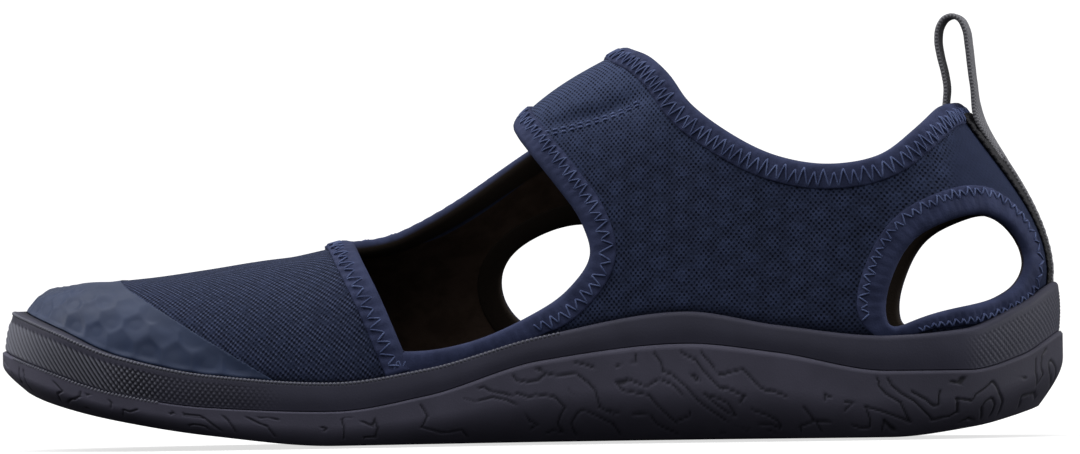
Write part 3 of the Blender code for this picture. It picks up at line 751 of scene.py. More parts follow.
# Soft troughs of the cloth in side view, in millimetres and degrees; a negative depth is a ridge
CREASES = [
    Crease(14.5, 64.9, -1, 15, 9.0, 1.3, 1.3),
    Crease(19.5, 67.6, -1, 20, 4.0, 1.8, 0.7),
    Crease(8.0, 68.5, -1, 32, 10.0, 3.5, -0.5),
    Crease(31.0, 57.0, -1, 70, 12.0, 4.0, 0.5),
    Crease(54.0, 40.0, -1, 80, 12.0, 5.0, 0.5),
    Crease(66.0, 36.0, -1, 75, 9.0, 4.0, 0.4),
    Crease(-44.0, 29.0, -1, 115, 9.0, 3.0, 0.4),
    Crease(-58.0, 26.0, -1, 120, 8.0, 4.0, 0.3),
    Crease(46.0, 42.0, 1, 75, 12.0, 5.0, 0.5),
    Crease(-48.0, 28.0, 1, 115, 9.0, 4.0, 0.4),
]
print(len(CREASES), "creases")

# %% Skin on the last
SKIN_COLUMNS = 600
CUP_ROWS = 8
OPEN_ROWS = 62
VAMP_SLANT = 0.36
VAMP_LENGTH = 100.0


def skin_rows(section):
    """Rows of the skin, close together in the rand's cup and even above it."""
    rim = rise_at(section, side_height(section, "rim"))
    rises = even_rises(section, 0.0, rim, CUP_ROWS) + even_rises(section, rim, 1.0, OPEN_ROWS)[1:]
    return last_rows(section, rises)


def cloth_coordinates(points):
    """Lengths in millimetres along a middle row and up each column, slanted on the vamp."""
    along = lengths(points[CUP_ROWS + OPEN_ROWS // 3])
    from_toe = np.abs(along - np.interp(TOE, skin_places, along))
    return along, lengths(points) - VAMP_SLANT * np.minimum(from_toe, VAMP_LENGTH)


def ahead_of_cap_edge(place):
    """How far points lie ahead of the toe cap's slanting rear edge."""
    (foot_x, foot_z), (top_x, top_z) = CAP_EDGE_FOOT, CAP_EDGE_TOP
    ahead = (place[:, 0] - foot_x) * (foot_z - top_z) + (place[:, 2] - foot_z) * (top_x - foot_x)
    return ahead / math.dist(CAP_EDGE_FOOT, CAP_EDGE_TOP)


def rim_height(place):
    """Height of the rand's rim beside points of the skin."""
    return by_side("rim", place[:, 0], place[:, 1] < 0.0)


def crease(place, normal):
    """Press the creases, the heel tape and the toe cap into points of the skin."""
    depth = np.zeros(len(place))
    for c in CREASES:
        turn = math.radians(c.turn)
        x, z = place[:, 0] - c.x, place[:, 2] - c.z
        along = x * math.cos(turn) + z * math.sin(turn)
        across = z * math.cos(turn) - x * math.sin(turn)
        near = np.exp(-(along / c.length) ** 2 - (across / c.width) ** 2)
        depth += c.depth * near * (place[:, 1] * c.side > 0.0)
    heel = smooth_step(*TAPE_PRESS_X, place[:, 0]) * np.exp(-(place[:, 1] / TAPE_PRESS) ** 4)
    heel *= 1.0 - (1.0 - TAPE_PRESS_LEAST) * smooth_step(*TAPE_TAPER_Z, place[:, 2])
    toe = CAP_PRESS * smooth_step(*CAP_PRESS_RAMP, ahead_of_cap_edge(place))
    return place - normal * (depth + heel + toe)[:, None]


skin_places = np.linspace(0.0, GIRTH, SKIN_COLUMNS + 1)
skin_points = skin_rows(sections(skin_places))
upper = grid("upper_mesh", skin_points, *cloth_coordinates(skin_points))
weld(upper)
face_out(upper)
move_corners(upper, crease(*corners(upper)))
SKIN = BVHTree.FromPolygons(
    corners(upper)[0].tolist(), [tuple(p.vertices) for p in upper.data.polygons])
print("skin", len(upper.data.polygons), "faces")

# %% [markdown]
# ## Openings
# The pattern is cut open at the collar, at the throat, at both sides and beside the heel.  Each
# opening is a smooth outline, drawn from the side or from above, and its prism is taken away from
# the wall by a Boolean.  The wall is cut a little wide, so that its edge lies inside the binding.

# %% Outlines of the openings
# Edges that an opening shares with its binding, in side view and in millimetres
VAMP_EDGE = [(-31.4, 35.8), (-27.5, 29.0), (-23.4, 19.8)]
MEDIAL_EDGE = [
    (-20.0, 18.4), (-11.2, 19.7), (0.5, 24.4), (9.0, 30.0), (13.4, 36.9), (11.7, 43.0), (6.0, 51.2),
    (1.0, 57.2),
]
COLLAR_EDGE = [
    (25.0, 75.8), (28.8, 72.2), (32.5, 67.0), (40.3, 60.8), (50.0, 55.8), (61.0, 53.9), (71.0, 55.7),
    (77.5, 60.5),
]
LATERAL_EDGE = [
    (32.6, 62.4), (41.0, 57.6), (50.0, 54.6), (61.0, 53.0), (71.0, 54.9), (77.5, 60.0), (82.2, 64.8),
]
TAB_EDGE = [(6.5, 49.4), (12.0, 46.6), (20.0, 48.2), (24.6, 51.8), (27.4, 57.0)]

# Closed outlines, where True marks a sharp corner; the throat is drawn from above
COLLAR_LINE = [
    (19.6, 90.0, True), (19.8, 77.9, True), *COLLAR_EDGE, (82.4, 65.2), (86.0, HEEL_TOP),
    (98.0, HEEL_TOP + 1.0, True), (98.0, 120.0, True), (19.6, 120.0, True),
]
LATERAL_COLLAR = [
    (19.8, 77.9, True), (21.4, 75.0), (24.0, 71.4), (27.2, 66.8), *LATERAL_EDGE, (85.6, HEEL_TOP),
    (92.0, 90.0, True), (19.8, 90.0, True),
]
MEDIAL_OPENING = [
    (-37.5, 42.0, True), (-35.4, 39.4), *VAMP_EDGE, *MEDIAL_EDGE, (-2.4, 61.0), (-3.2, 66.0, True),
    (-20.0, 66.0, True),
]
LATERAL_HOLE = [
    (-9.1, 31.0), (-7.2, 37.1), (-1.0, 41.4), (6.1, 43.3), (14.5, 41.8), (19.5, 36.0),
    (18.0, 28.5), (11.0, 23.6), (2.0, 21.2), (-5.5, 23.9),
]
HEEL_HOLE = [
    (71.6, 23.6), (72.8, 31.0), (77.1, 38.4), (84.2, 42.3), (90.0, 43.6), (96.3, 40.4),
    (99.0, 34.0), (97.4, 29.8), (90.2, 25.9), (76.0, 22.3), (72.2, 21.7),
]
STRAP_TAB = [
    (-3.2, 62.5), (0.5, 57.0), *TAB_EDGE, (30.0, 66.0, True), (30.0, 95.0, True), (2.0, 95.0, True),
]
THROAT = [
    (-35.4, -6.0, True), (-36.2, 0.0), (-34.0, 6.0), (-29.0, 11.6), (-21.7, 15.6), (-13.0, 16.8),
    (-5.0, 17.2), (0.2, 17.4, True), (-1.4, 12.0), (-2.7, 6.0), (-3.2, 0.0), (-3.2, -6.0, True),
]
print(len(LATERAL_HOLE), "points round the outer hole,", len(HEEL_HOLE), "round each heel hole")

# %% Tools that cut an opening
OUTLINE_STEPS = 8
SEAM_ALLOWANCE = 0.9


def outline_points(outline):
    """Points of a closed curve with automatic handles, or straight ones at marked corners."""
    curve = bpy.data.curves.new("outline", "CURVE")
    curve.dimensions = "2D"
    spline = curve.splines.new("BEZIER")
    spline.use_cyclic_u = True
    points = spline.bezier_points
    points.add(len(outline) - 1)
    for point, place in zip(points, outline):
        point.co = (place[0], place[1], 0.0)
        point.handle_left_type = point.handle_right_type = "VECTOR" if len(place) > 2 else "AUTO"
    drawn = put("outline", curve)
    bpy.context.view_layer.update()
    line = []
    for a, b in zip(points, [*points[1:], points[0]]):
        piece = interpolate_bezier(a.co, a.handle_right, b.handle_left, b.co, OUTLINE_STEPS + 1)
        line += [(p.x, p.y) for p in piece[:-1]]
    bpy.data.objects.remove(drawn)
    return np.array(line)


def widen(line, distance):
    """Move a closed line outwards, whichever way round it runs."""
    after = np.roll(line, -1, axis=0)
    along = unit(after - np.roll(line, 1, axis=0))
    turn = np.sign(np.sum(line[:, 0] * after[:, 1] - line[:, 1] * after[:, 0]))
    return line + turn * distance * np.stack([along[:, 1], -along[:, 0]], axis=1)


def prism(name, line, low, high, plan=False):
    """A closed line as a thick plate: across the foot, or upright if it is drawn from above."""
    bpy.ops.mesh.primitive_circle_add(vertices=len(line), fill_type="NGON")
    plate = bpy.context.object
    plate.name = name
    order = [0, 1, 2] if plan else [0, 2, 1]
    move_corners(plate, lift(line, low)[:, order])
    push = Vector([(0.0, 0.0, high - low)[axis] for axis in order]) * MM
    with editing(plate):
        bpy.ops.mesh.extrude_region_move(TRANSFORM_OT_translate={"value": push})
        bpy.ops.mesh.select_all(action="SELECT")
        bpy.ops.mesh.normals_make_consistent(inside=False)
    return plate


def cut(piece, outline, low, high, plan=False, keep="DIFFERENCE", wider=SEAM_ALLOWANCE):
    """Take an outline's prism away from a piece, or keep only what lies in it."""
    tool = prism("cutter", widen(outline_points(outline), wider), low, high, plan)
    modify(piece, "BOOLEAN", object=tool, operation=keep, solver="EXACT")
    bpy.data.objects.remove(tool)


print("cuts go", SEAM_ALLOWANCE, "mm past their outlines")

# %% Cut the openings
FAR_SIDE = 60.0
MEDIAL_LIMIT = -4.0
LATERAL_LIMIT = 12.0
LATERAL_COLLAR_LIMIT = 1.0
THROAT_LEVELS = (30.0, 110.0)
FOOT_SHADE = 0.9

for finish in (MESH_FABRIC, LINING):
    upper.data.materials.append(finish)
modify(upper, "SOLIDIFY", thickness=UPPER_WALL * MM, offset=-1.0, material_offset=1)
for outline, low, high, plan in (
        (COLLAR_LINE, -FAR_SIDE, FAR_SIDE, False),
        (THROAT, *THROAT_LEVELS, True),
        (MEDIAL_OPENING, -FAR_SIDE, MEDIAL_LIMIT, False),
        (LATERAL_HOLE, LATERAL_LIMIT, FAR_SIDE, False),
        (HEEL_HOLE, -FAR_SIDE, FAR_SIDE, False),
        (LATERAL_COLLAR, LATERAL_COLLAR_LIMIT, FAR_SIDE, False)):
    cut(upper, outline, low, high, plan)
# Painted shadow: the cloth over the rand's rim is marked to be painted dark, fading over FOOT_SHADE mm
place, _ = corners(upper)
over_rim = np.clip(place[:, 2] - rim_height(place), 0.0, 10.0 * FOOT_SHADE)
mark(upper, "foot", np.exp(-over_rim / FOOT_SHADE))
hand_over(upper, "mesh_fabric", [MESH_FABRIC, LINING], "upper")

# %% [markdown]
# ## The strap's free end
# The strap crosses the instep and fastens on the outer side.  Its end is a second layer, so it is
# laid on the same skin and lifted off it step by step, then trimmed to its rounded outline.

# %% Strap end
TAB_THICKNESS = 1.8
TAB_LIFT = 1.6
TAB_SEAT = 0.06
TAB_RAMP = (4.0, 13.0)
TAB_FOOT = 40.0
TAB_LIMIT = 3.0
TAB_SPAN = (0.40, 0.75)
TAB_COLUMNS = 90
TAB_ROWS = 60


def strap_end():
    """A second layer of mesh over the skin, cut to the outline of the strap's end."""
    first, last = [TOE + share * (GIRTH - TOE) for share in TAB_SPAN]
    places = np.linspace(first, last, TAB_COLUMNS + 1)
    section = sections(places)
    rises = even_rises(section, rise_at(section, TAB_FOOT), 1.0, TAB_ROWS + 1)
    points = last_rows(section, rises)
    tab = grid("strap_end", points, places, lengths(points))
    place, normal = corners(tab)
    outward = np.sign(normal[:, 1].sum())
    proud = TAB_LIFT * smooth_step(*TAB_RAMP, place[:, 1])
    move_corners(tab, place + outward * normal * (proud + TAB_SEAT)[:, None])
    modify(tab, "SOLIDIFY", thickness=TAB_THICKNESS * MM, offset=-outward)
    weld(tab)
    cut(tab, STRAP_TAB, TAB_LIMIT, FAR_SIDE, keep="INTERSECT", wider=-SEAM_ALLOWANCE)
    cut(tab, LATERAL_COLLAR, -FAR_SIDE, FAR_SIDE)
    hand_over(tab, "mesh_fabric", [MESH_FABRIC], "upper")


strap_end()

# %% [markdown]
# ## Bindings and their stitches
# Every raw edge is folded into an elastic tape and sewn with a zigzag.  The tape is a sweep: a
# folded profile carried along the edge, each point set back on the skin so that it follows the
# foot.  The thread is modelled once, as a short arched tube, and copied from apex to apex.

# %% Points and lines on the skin


def skin_point(start, way, raised=0.0):
    """The point of the skin that a look from start meets, and its lift off the skin."""
    return (*SKIN.ray_cast(Vector(start), Vector(way))[0], raised)


def beside(side, points, raised=0.0):
    """Points of the skin seen from one side."""
    return [skin_point((x, side * 2.0 * FAR_SIDE, z), (0.0, -side, 0.0), raised) for x, z in points]


def above(points):
    """Points of the skin seen from above, each with its own lift."""
    return [skin_point((x, y, 2.0 * FAR_SIDE), (0.0, 0.0, -1.0), raised) for x, y, raised in points]


def behind(z):
    """The point of the skin on the back seam at a height."""
    return skin_point((3.0 * FAR_SIDE, 0.0, z), (-1.0, 0.0, 0.0))


def settle(points):
    """The nearest points of the skin, and the normals of its faces there."""
    found = [SKIN.find_nearest(Vector(p))[:2] for p in points]
    place, normal = np.array(found).transpose(1, 0, 2)
    return place, normal


def smooth_along(values, closed, passes=6):
    """Even out values along a line."""
    for _ in range(passes):
        before, after = np.roll(values, 1, axis=0), np.roll(values, -1, axis=0)
        if not closed:
            before[0], after[-1] = values[0], values[-1]
        values = 0.25 * before + 0.5 * values + 0.25 * after
    return values


def edge_line(points, closed, step=0.55):
    """A smooth line on the skin through a few points, with evenly spaced stops and their lifts."""
    points = np.array(points)
    if closed:
        points = np.concatenate([points, points[:1]])
    knots = lengths(points[:, :3])
    stops = np.linspace(0.0, knots[-1], int(knots[-1] / step) + 1)
    if closed:
        return closed_spline(knots, points[:-1], stops[:-1])
    return hermite(knots, points, np.gradient(points, knots, axis=0), stops)


print("top of the heel", [round(c, 1) for c in behind(HEEL_TOP)[:3]])

# %% A tape folded over an edge
Binding = namedtuple("Binding", "name points closed turn width least near far pitch raised")

# Folded profile of a tape: share of its width from the edge, and height over the wall
FOLD = [
    (1.00, 0.02), (0.985, 0.28), (0.93, 0.40), (0.75, 0.44), (0.55, 0.46), (0.35, 0.45), (0.20, 0.36),
    (0.09, 0.08), (0.02, -0.45), (0.0, -1.0), (0.02, -1.55), (0.09, -2.08), (0.20, -2.36),
    (0.55, -2.45), (0.93, -2.40), (0.985, -2.28), (1.00, -2.02),
]
PUCKER = 0.16
PUFF = 0.14
PUFF_LENGTH = 6.5
PUFF_BEAT = 2.7
SWELL_RISE = 0.2
SWELL_SHARES = (0.1, 0.4)
RIM_CLEAR = 0.6
RIM_FREE = (-0.4, 0.6)
FLUSH = 0.02


def tape_frames(binding):
    """The edge's points, directions into the cloth and off the skin, and widths clear of the rim."""
    line = edge_line(binding.points, binding.closed)
    edge, normal = settle(line[:, :3])
    edge = smooth_along(edge, binding.closed)
    normal = unit(smooth_along(normal, binding.closed, 10))
    if binding.closed:
        along = np.roll(edge, -1, axis=0) - np.roll(edge, 1, axis=0)
    else:
        along = np.gradient(edge, axis=0)
    inward = binding.turn * np.cross(normal, unit(along))
    edge = edge + normal * line[:, 3:4]
    width = np.full(len(edge), binding.least)
    for wider in np.linspace(binding.least, binding.width, 9):
        far = settle(edge + inward * wider)[0]
        width = np.where(far[:, 2] > rim_height(far) + RIM_CLEAR, wider, width)
    return edge, inward, normal, smooth_along(width, binding.closed, 12)


def on_tape(binding, frames, share, rise):
    """Points of the tape at a share of its width, raised off the wall."""
    edge, inward, normal, width = frames
    place, _ = settle(edge + inward * (share * width)[:, None])
    raised = np.sum((edge - settle(edge)[0]) * normal, axis=1)
    free = smooth_step(*RIM_FREE, place[:, 2] - rim_height(place))
    rise = np.where(rise > 0.0, rise * free + FLUSH * (1.0 - free), rise)
    return smooth_along(place, binding.closed, 2) + normal * (raised + rise + binding.raised)[:, None]


def make_binding(binding):
    """A tape folded over an edge, puckered by its stitches and puffed here and there."""
    frames = tape_frames(binding)
    stops = lengths(frames[0])
    wave = np.sin(2.0 * math.pi * stops / binding.pitch)
    turn = 2.0 * math.pi * stops / stops[-1]
    puff = np.sin(turn * round(stops[-1] / PUFF_LENGTH))
    puff = puff * np.cos(turn * round(stops[-1] / PUFF_LENGTH / PUFF_BEAT))
    rows = []
    for share, rise in FOLD:
        swell = (PUCKER * wave + PUFF * puff) * (rise > SWELL_RISE) * smooth_step(*SWELL_SHARES, share)
        rows.append(on_tape(binding, frames, share, rise + swell))
    rows.append(rows[0])
    points = np.array(rows)
    if binding.closed:
        points = np.concatenate([points, points[:, :1]], axis=1)
    # The fold's inner rows are marked to be painted near black, as painted shade
    inside = np.array([[float(rise < -1.0)] for _, rise in [*FOLD, FOLD[0]]])
    tape = grid(binding.name, points, inside, inside)
    weld(tape, fill=not binding.closed)
    mark_values(tape, "inside")
    hand_over(tape, "mesh_fabric", [BINDING], "upper")
    return frames, stops


print("folded profile of", len(FOLD), "points")

# %% One stitch, copied from apex to apex
THREAD_RADIUS = 0.19
STITCH_RINGS = 7
STITCH_SIDES = 6
STITCH_DRIFT = 0.07
DRIFT_TURN = 1.7
STITCH_UNEVEN = 0.22
UNEVEN_TURNS = (2.4, 0.73)
STITCH_SHARES = (-0.25, 1.0)
STITCH_RISE = 0.47
STITCH_CLEAR = 0.45


def sew(name, starts, ends, normals, radius=THREAD_RADIUS, arch=0.22, dive=0.25,
        finish=THREAD, slot="mesh_fabric"):
    """Arched tubes from starts to ends, joined into one mesh."""
    ring = np.linspace(0.0, 1.0, STITCH_RINGS)
    turn = np.linspace(0.0, 2.0 * math.pi, STITCH_SIDES, endpoint=False)
    across = np.cross(normals, unit(ends - starts))
    bow = (arch + dive) * np.sqrt(np.clip(1.0 - (2.0 * ring - 1.0) ** 4, 0.0, 1.0)) - dive
    spine = starts[:, None] + (ends - starts)[:, None] * ring[None, :, None]
    spine = spine + normals[:, None] * bow[None, :, None]
    fat = radius * np.clip(1.15 - np.abs(2.0 * ring - 1.0) ** 6 * 0.5, 0.5, 1.0)
    tube = spine[:, :, None] + fat[None, :, None, None] * (
        across[:, None, None] * np.cos(turn)[None, None, :, None]
        + normals[:, None, None] * np.sin(turn)[None, None, :, None])
    size = STITCH_RINGS * STITCH_SIDES
    around = [(s, (s + 1) % STITCH_SIDES) for s in range(STITCH_SIDES)]
    faces = [(k + s, k + n, k + n + STITCH_SIDES, k + s + STITCH_SIDES)
             for k in range(0, size - STITCH_SIDES, STITCH_SIDES) for s, n in around]
    caps = [tuple(range(STITCH_SIDES))[::-1], tuple(range(size - STITCH_SIDES, size))]
    piece = joined(name, tube.reshape(len(starts), size, 3), faces + caps)
    weld(piece)
    hand_over(piece, slot, [finish])


def zigzag(binding, frames, stops):
    """Stitches from side to side along a binding, between its near and far lines."""
    count = int(stops[-1] / binding.pitch * 2.0)
    step = np.arange(count + 1)
    drift = binding.pitch * STITCH_DRIFT * np.sin(DRIFT_TURN * step)
    at = np.linspace(0.0, stops[-1], count + 1) + drift
    lines = [on_tape(binding, frames, away / binding.width, STITCH_RISE)
             for away in (binding.near, binding.far)]
    low, high, normal = [
        np.stack([np.interp(at, stops, row[:, axis]) for axis in range(3)], axis=1)
        for row in (*lines, frames[2])]
    one, two = [np.sin(turn * step) for turn in UNEVEN_TURNS]
    share = (step + 1) % 2 + STITCH_UNEVEN * one * two
    apex = low + (high - low) * np.clip(share, *STITCH_SHARES)[:, None]
    clear = apex[:, 2] > rim_height(apex) + STITCH_CLEAR
    shown = clear[:-1] & clear[1:]
    name = binding.name.replace("binding", "stitches")
    sew(name, apex[:-1][shown], apex[1:][shown], normal[:-1][shown])


print("one stitch has", STITCH_RINGS * STITCH_SIDES, "vertices")

# %% Lines of the bindings
VAMP_LINE = [
    *beside(-1, [(-21.1, 14.2), *VAMP_EDGE[::-1]]),
    *above([(-35.2, -6.0, 0.0), (-36.2, 0.0, 0.0), (-34.4, 6.0, 0.0), (-29.6, 10.6, 0.0)]),
    *beside(1, [(-21.7, 44.6), (-13.6, 49.6), (-5.5, 55.3), (1.0, 59.6), (6.0, 62.4)]),
]
STRAP_LINE = [
    *beside(-1, [(-25.5, 18.6), *MEDIAL_EDGE, (-2.2, 60.8)]),
    *above([(-3.2, -6.0, 0.0), (-3.2, 0.0, 0.0), (-2.7, 6.0, 0.2), (-1.4, 12.0, 1.4)]),
    *beside(1, [(1.2, 56.0), *TAB_EDGE, (28.2, 62.0), (26.8, 66.8), (24.0, 71.4)],
            raised=TAB_LIFT + TAB_SEAT),
    *above([(20.6, 9.0, 0.9), (19.4, 4.0, 0.05), (19.8, 0.0, 0.0), (20.8, -4.0, 0.0)]),
    *beside(-1, [*COLLAR_EDGE, (82.2, 65.0)]),
    behind(HEEL_TOP),
    *beside(1, [*LATERAL_EDGE[::-1], (28.0, 65.6)]),
]
BINDINGS = [
    Binding("vamp_binding", VAMP_LINE, False, 1, 5.3, 5.3, 1.6, 5.0, 2.5, 0.25),
    Binding("strap_binding", STRAP_LINE, False, -1, 5.3, 4.6, 1.9, 5.1, 1.8, 0.0),
    Binding("lateral_hole_binding", beside(1, LATERAL_HOLE), True, -1, 5.0, 4.4, 1.8, 4.8, 1.9, 0.0),
    Binding("medial_heel_binding", beside(-1, HEEL_HOLE), True, 1, 5.9, 2.6, 3.2, 5.7, 1.6, 0.0),
    Binding("lateral_heel_binding", beside(1, HEEL_HOLE), True, -1, 5.9, 2.6, 3.2, 5.7, 1.6, 0.0),
]
for binding in BINDINGS:
    zigzag(binding, *make_binding(binding))

# %% [markdown]
# The strap is sewn to the quarter by a double row of straight stitches.  They lie in a soft trough
# that the creases have pressed into the skin.

# %% Strap seam
SEAM = [(4.6, 60.6), (9.0, 61.6), (15.0, 63.1), (19.0, 64.5), (22.4, 66.0)]
SEAM_ROWS = (-0.55, 0.55)
SEAM_PITCH = 1.6
SEAM_STITCH = 1.15


def strap_seam():
    """Two rows of straight stitches beside the seam's line."""
    line = edge_line(beside(-1, SEAM), False, SEAM_PITCH)[:, :3]
    along = unit(np.gradient(line, axis=0))
    normal = smooth_along(settle(line)[1], False)
    across = np.cross(normal, along)
    middle = np.concatenate([settle(line + across * row)[0] for row in SEAM_ROWS])
    along, normal = np.tile(along, (2, 1)), np.tile(normal, (2, 1))
    half = along * SEAM_STITCH / 2.0
    sew("strap_seam", middle - half, middle + half, normal, radius=0.24, arch=0.18, dive=0.2)


strap_seam()

# %% [markdown]
# ## Toe cap
# A film is pressed hot onto the toe, and its tool leaves hammered dimples in offset rows that fade
# towards the top.  The film is a fine grid on the skin; the dimples are pushed in by their distance
# to the nearest centre, the ridge is smoothed, and a plane cuts the slanting rear edge.

# %% Toe cap
CAP_COLUMNS = 430
CAP_ROWS = 84
CAP_REACH = -42.0
CAP_FOOT = 0.1
CAP_SEAT = 0.10
CAP_THICKNESS = 0.6
CAP_LEAST = 0.05
CAP_EDGE_SHARE = 0.3
CAP_FEATHER = 4.0
CAP_RIDGE = 4.0
CAP_SMOOTHINGS = 25
DIMPLE_ROWS = 6
DIMPLE_FOOT = 2.4
DIMPLE_START = 1.2
DIMPLE_PITCH = 6.6
DIMPLE_ROW = 4.5
DIMPLE_DEPTH = 0.85
DIMPLE_SOFT = 1.7
DIMPLE_REACH = 0.58
DIMPLE_FADE = (9.0, 17.0)


def dimples(along, up):
    """Depth of the hammered dimples at lengths along the rim and up from it."""
    bowls = np.zeros(along.shape)
    half = DIMPLE_PITCH / 2.0
    for row in range(DIMPLE_ROWS):
        nearest = (along + (row % 2) * half + half) % DIMPLE_PITCH - half
        for across in (nearest - DIMPLE_PITCH, nearest, nearest + DIMPLE_PITCH):
            bowls += np.exp(-(across ** 2 + (up - DIMPLE_FOOT - row * DIMPLE_ROW) ** 2) / DIMPLE_SOFT)
    reach = DIMPLE_PITCH * DIMPLE_REACH
    bowl = np.clip(1.0 + DIMPLE_SOFT * np.log(bowls) / reach ** 2, 0.0, 1.0)
    uneven = 0.8 + 0.2 * np.sin(0.37 * along + 0.9 * up)
    return DIMPLE_DEPTH * uneven * bowl * (1.0 - smooth_step(*DIMPLE_FADE, up))


def toe_cap():
    """The dimpled film, alike on both sides of the toe so that its halves meet on the ridge."""
    dense = np.linspace(0.0, GIRTH, 4001)
    reach = np.abs(dense[sections(dense).edge[:, 0] < CAP_REACH] - TOE).max()
    places = np.linspace(TOE - reach, TOE + reach, CAP_COLUMNS + 1)
    section = sections(places)
    rim = rise_at(section, side_height(section, "rim") + CAP_FOOT)
    rises = even_rises(section, rim, 1.0, CAP_ROWS + 1)
    points = last_rows(section, rises)
    points = settle(points.reshape(-1, 3))[0].reshape(points.shape)
    cap = grid("toe_film", points, places - TOE, lengths(points))
    weld(cap)
    face_out(cap)
    place, normal = corners(cap)
    along, up = corner_values(cap).T
    full = smooth_step(0.0, CAP_FEATHER, ahead_of_cap_edge(place))
    thick = CAP_SEAT + CAP_THICKNESS * (CAP_EDGE_SHARE + (1.0 - CAP_EDGE_SHARE) * full)
    deep = dimples(along, up) * smooth_step(0.0, DIMPLE_START, up)
    proud = np.maximum(thick - deep, CAP_LEAST)
    move_corners(cap, place + normal * proud[:, None])
    ridge = points[-1, ::4, :2]
    near = np.linalg.norm(place[:, None, :2] - ridge[None], axis=2).min(axis=1) < CAP_RIDGE
    with editing(cap, chosen=near):
        bpy.ops.mesh.vertices_smooth(factor=0.5, repeat=CAP_SMOOTHINGS)
    (foot_x, foot_z), (top_x, top_z) = CAP_EDGE_FOOT, CAP_EDGE_TOP
    with editing(cap):
        bpy.ops.mesh.bisect(
            plane_co=Vector((foot_x, 0.0, foot_z)) * MM,
            plane_no=Vector((top_z - foot_z, 0.0, foot_x - top_x)).normalized(), clear_outer=True)
    modify(cap, "SOLIDIFY", thickness=CAP_THICKNESS * MM, offset=-1.0)
    hand_over(cap, "cap_film", [CAP_FILM], "toe_cap")


toe_cap()

# %% [markdown]
# ## Rand
# The rand is the rubber rim that grips the upper.  Its mould is knurled at the toe and the heel: a
# steep hatch at the very front, diamonds beside it, then fine dots that fade along the side.  The
# columns of its grid stand close together there and wide apart elsewhere.

# %% Where rand and outsole meet
OUTSOLE_BASE = 3.0
TRAY_WALL = 1.8
TRAY_SHARE = 0.56
TUCK_START = 0.6
TUCK_POWER = 2.2


def tuck_depth(section, share):
    """How far the outsole's wall lies inside its edge at a share of its height."""
    return side_height(section, "tuck") * np.maximum(0.0, 1.0 - share / TUCK_START) ** TUCK_POWER


def tray(section, clear):
    """The outsole's hollow from the spine up to the parting line, drawn inwards by clear."""
    part = side_height(section, "part")
    bottom = height("bottom", section.edge[:, 0])
    share = OUTSOLE_BASE / (part - bottom)
    floor_edge = inset_edge(section, TRAY_WALL + GAP + clear + tuck_depth(section, share))
    wall = inset_edge(section, TRAY_WALL + clear + tuck_depth(section, TRAY_SHARE))
    base = OUTSOLE_BASE + clear
    return [
        lift(section.spine, height("bottom", section.spine[:, 0]) + base),
        lift(floor_edge, height("bottom", floor_edge[:, 0]) + base),
        lift(wall, bottom + (part - bottom) * TRAY_SHARE + clear),
        lift(inset_edge(section, TRAY_WALL + clear), part + clear),
    ]


print("tray of the outsole", OUTSOLE_BASE, "mm over its tread")

# %% Knurl of the rand
HATCH_PITCH = 0.86
HATCH_ALONG = 0.77
HATCH_UP = 0.64
HATCH_ENDS = (-84.0, -74.0)
DIAMOND_ENDS = (-76.0, -66.0)
DIAMOND_GAIN = 1.6
DOT_LOSS = 0.55
DOT_ENDS = (-60.0, -44.0)
HEEL_KNURL = (86.0, 92.0)
HEEL_STRENGTH = 0.3


def knurl(place, x, up):
    """Raised pattern of the rand from 0 to 1, and how strong it is at each point."""
    along = np.where(x < 0.0, x + LENGTH / 2.0, np.minimum(place, GIRTH - place))
    turn = 2.0 * math.pi / HATCH_PITCH
    one, two = [0.5 + 0.5 * np.cos(turn * (HATCH_ALONG * along + slant * up))
                for slant in (HATCH_UP, -HATCH_UP)]
    front = 1.0 - smooth_step(*HATCH_ENDS, x)
    pattern = front * one + (1.0 - front) * one * two * DIAMOND_GAIN
    strength = 1.0 - DOT_LOSS * smooth_step(*DIAMOND_ENDS, x)
    strength = strength * (1.0 - smooth_step(*DOT_ENDS, x))
    return np.clip(pattern, 0.0, 1.0), strength + HEEL_STRENGTH * smooth_step(*HEEL_KNURL, x)


print("hatch every", HATCH_PITCH, "mm, dots as far as x =", DOT_ENDS[1])

# %% Rand
BAND_STEP = 0.7
RIM_ROUND = 1.0
RIM_TURNS = np.radians((22.0, 45.0, 68.0, 90.0))
RAND_ROWS = 34
RAND_FINE = 0.17
RAND_COARSE = 0.9
RAND_FOOT = 0.12
RAND_SWELL = 0.25
CUP_LEVELS = 4
HATCH_DEPTH = 0.50
HATCH_FOOT = (0.0, 0.08)
HATCH_TOP = (0.86, 0.94)
# Painted shade of the knurl's valleys, painted highlight of its tips and painted light at the heel
HATCH_PAINTED_SHADE = 0.8
HATCH_HIGHLIGHT = 0.62
HEEL_PAINTED_LIGHT = 0.12
TOE_LEAN = 1.3
TOE_LEAN_X = (-104.0, -88.0)


def spread(fine, coarse, toe_x, heel_x):
    """Places along the loop, alike on both sides, close together at the toe and the heel."""
    dense = np.linspace(0.0, TOE, 4001)
    x = sections(dense).edge[:, 0]
    step = np.where((x < toe_x) | (x > heel_x), fine, coarse)
    count = np.concatenate([[0.0], np.cumsum((dense[1] - dense[0]) / step[:-1])])
    half = np.interp(np.linspace(0.0, count[-1], int(count[-1]) + 1), count, dense)
    return np.concatenate([half, GIRTH - half[-2::-1]])


def rand_lean(x):
    """How far the rand's face leans back at its rim."""
    return TOE_LEAN * (1.0 - smooth_step(*TOE_LEAN_X, x))


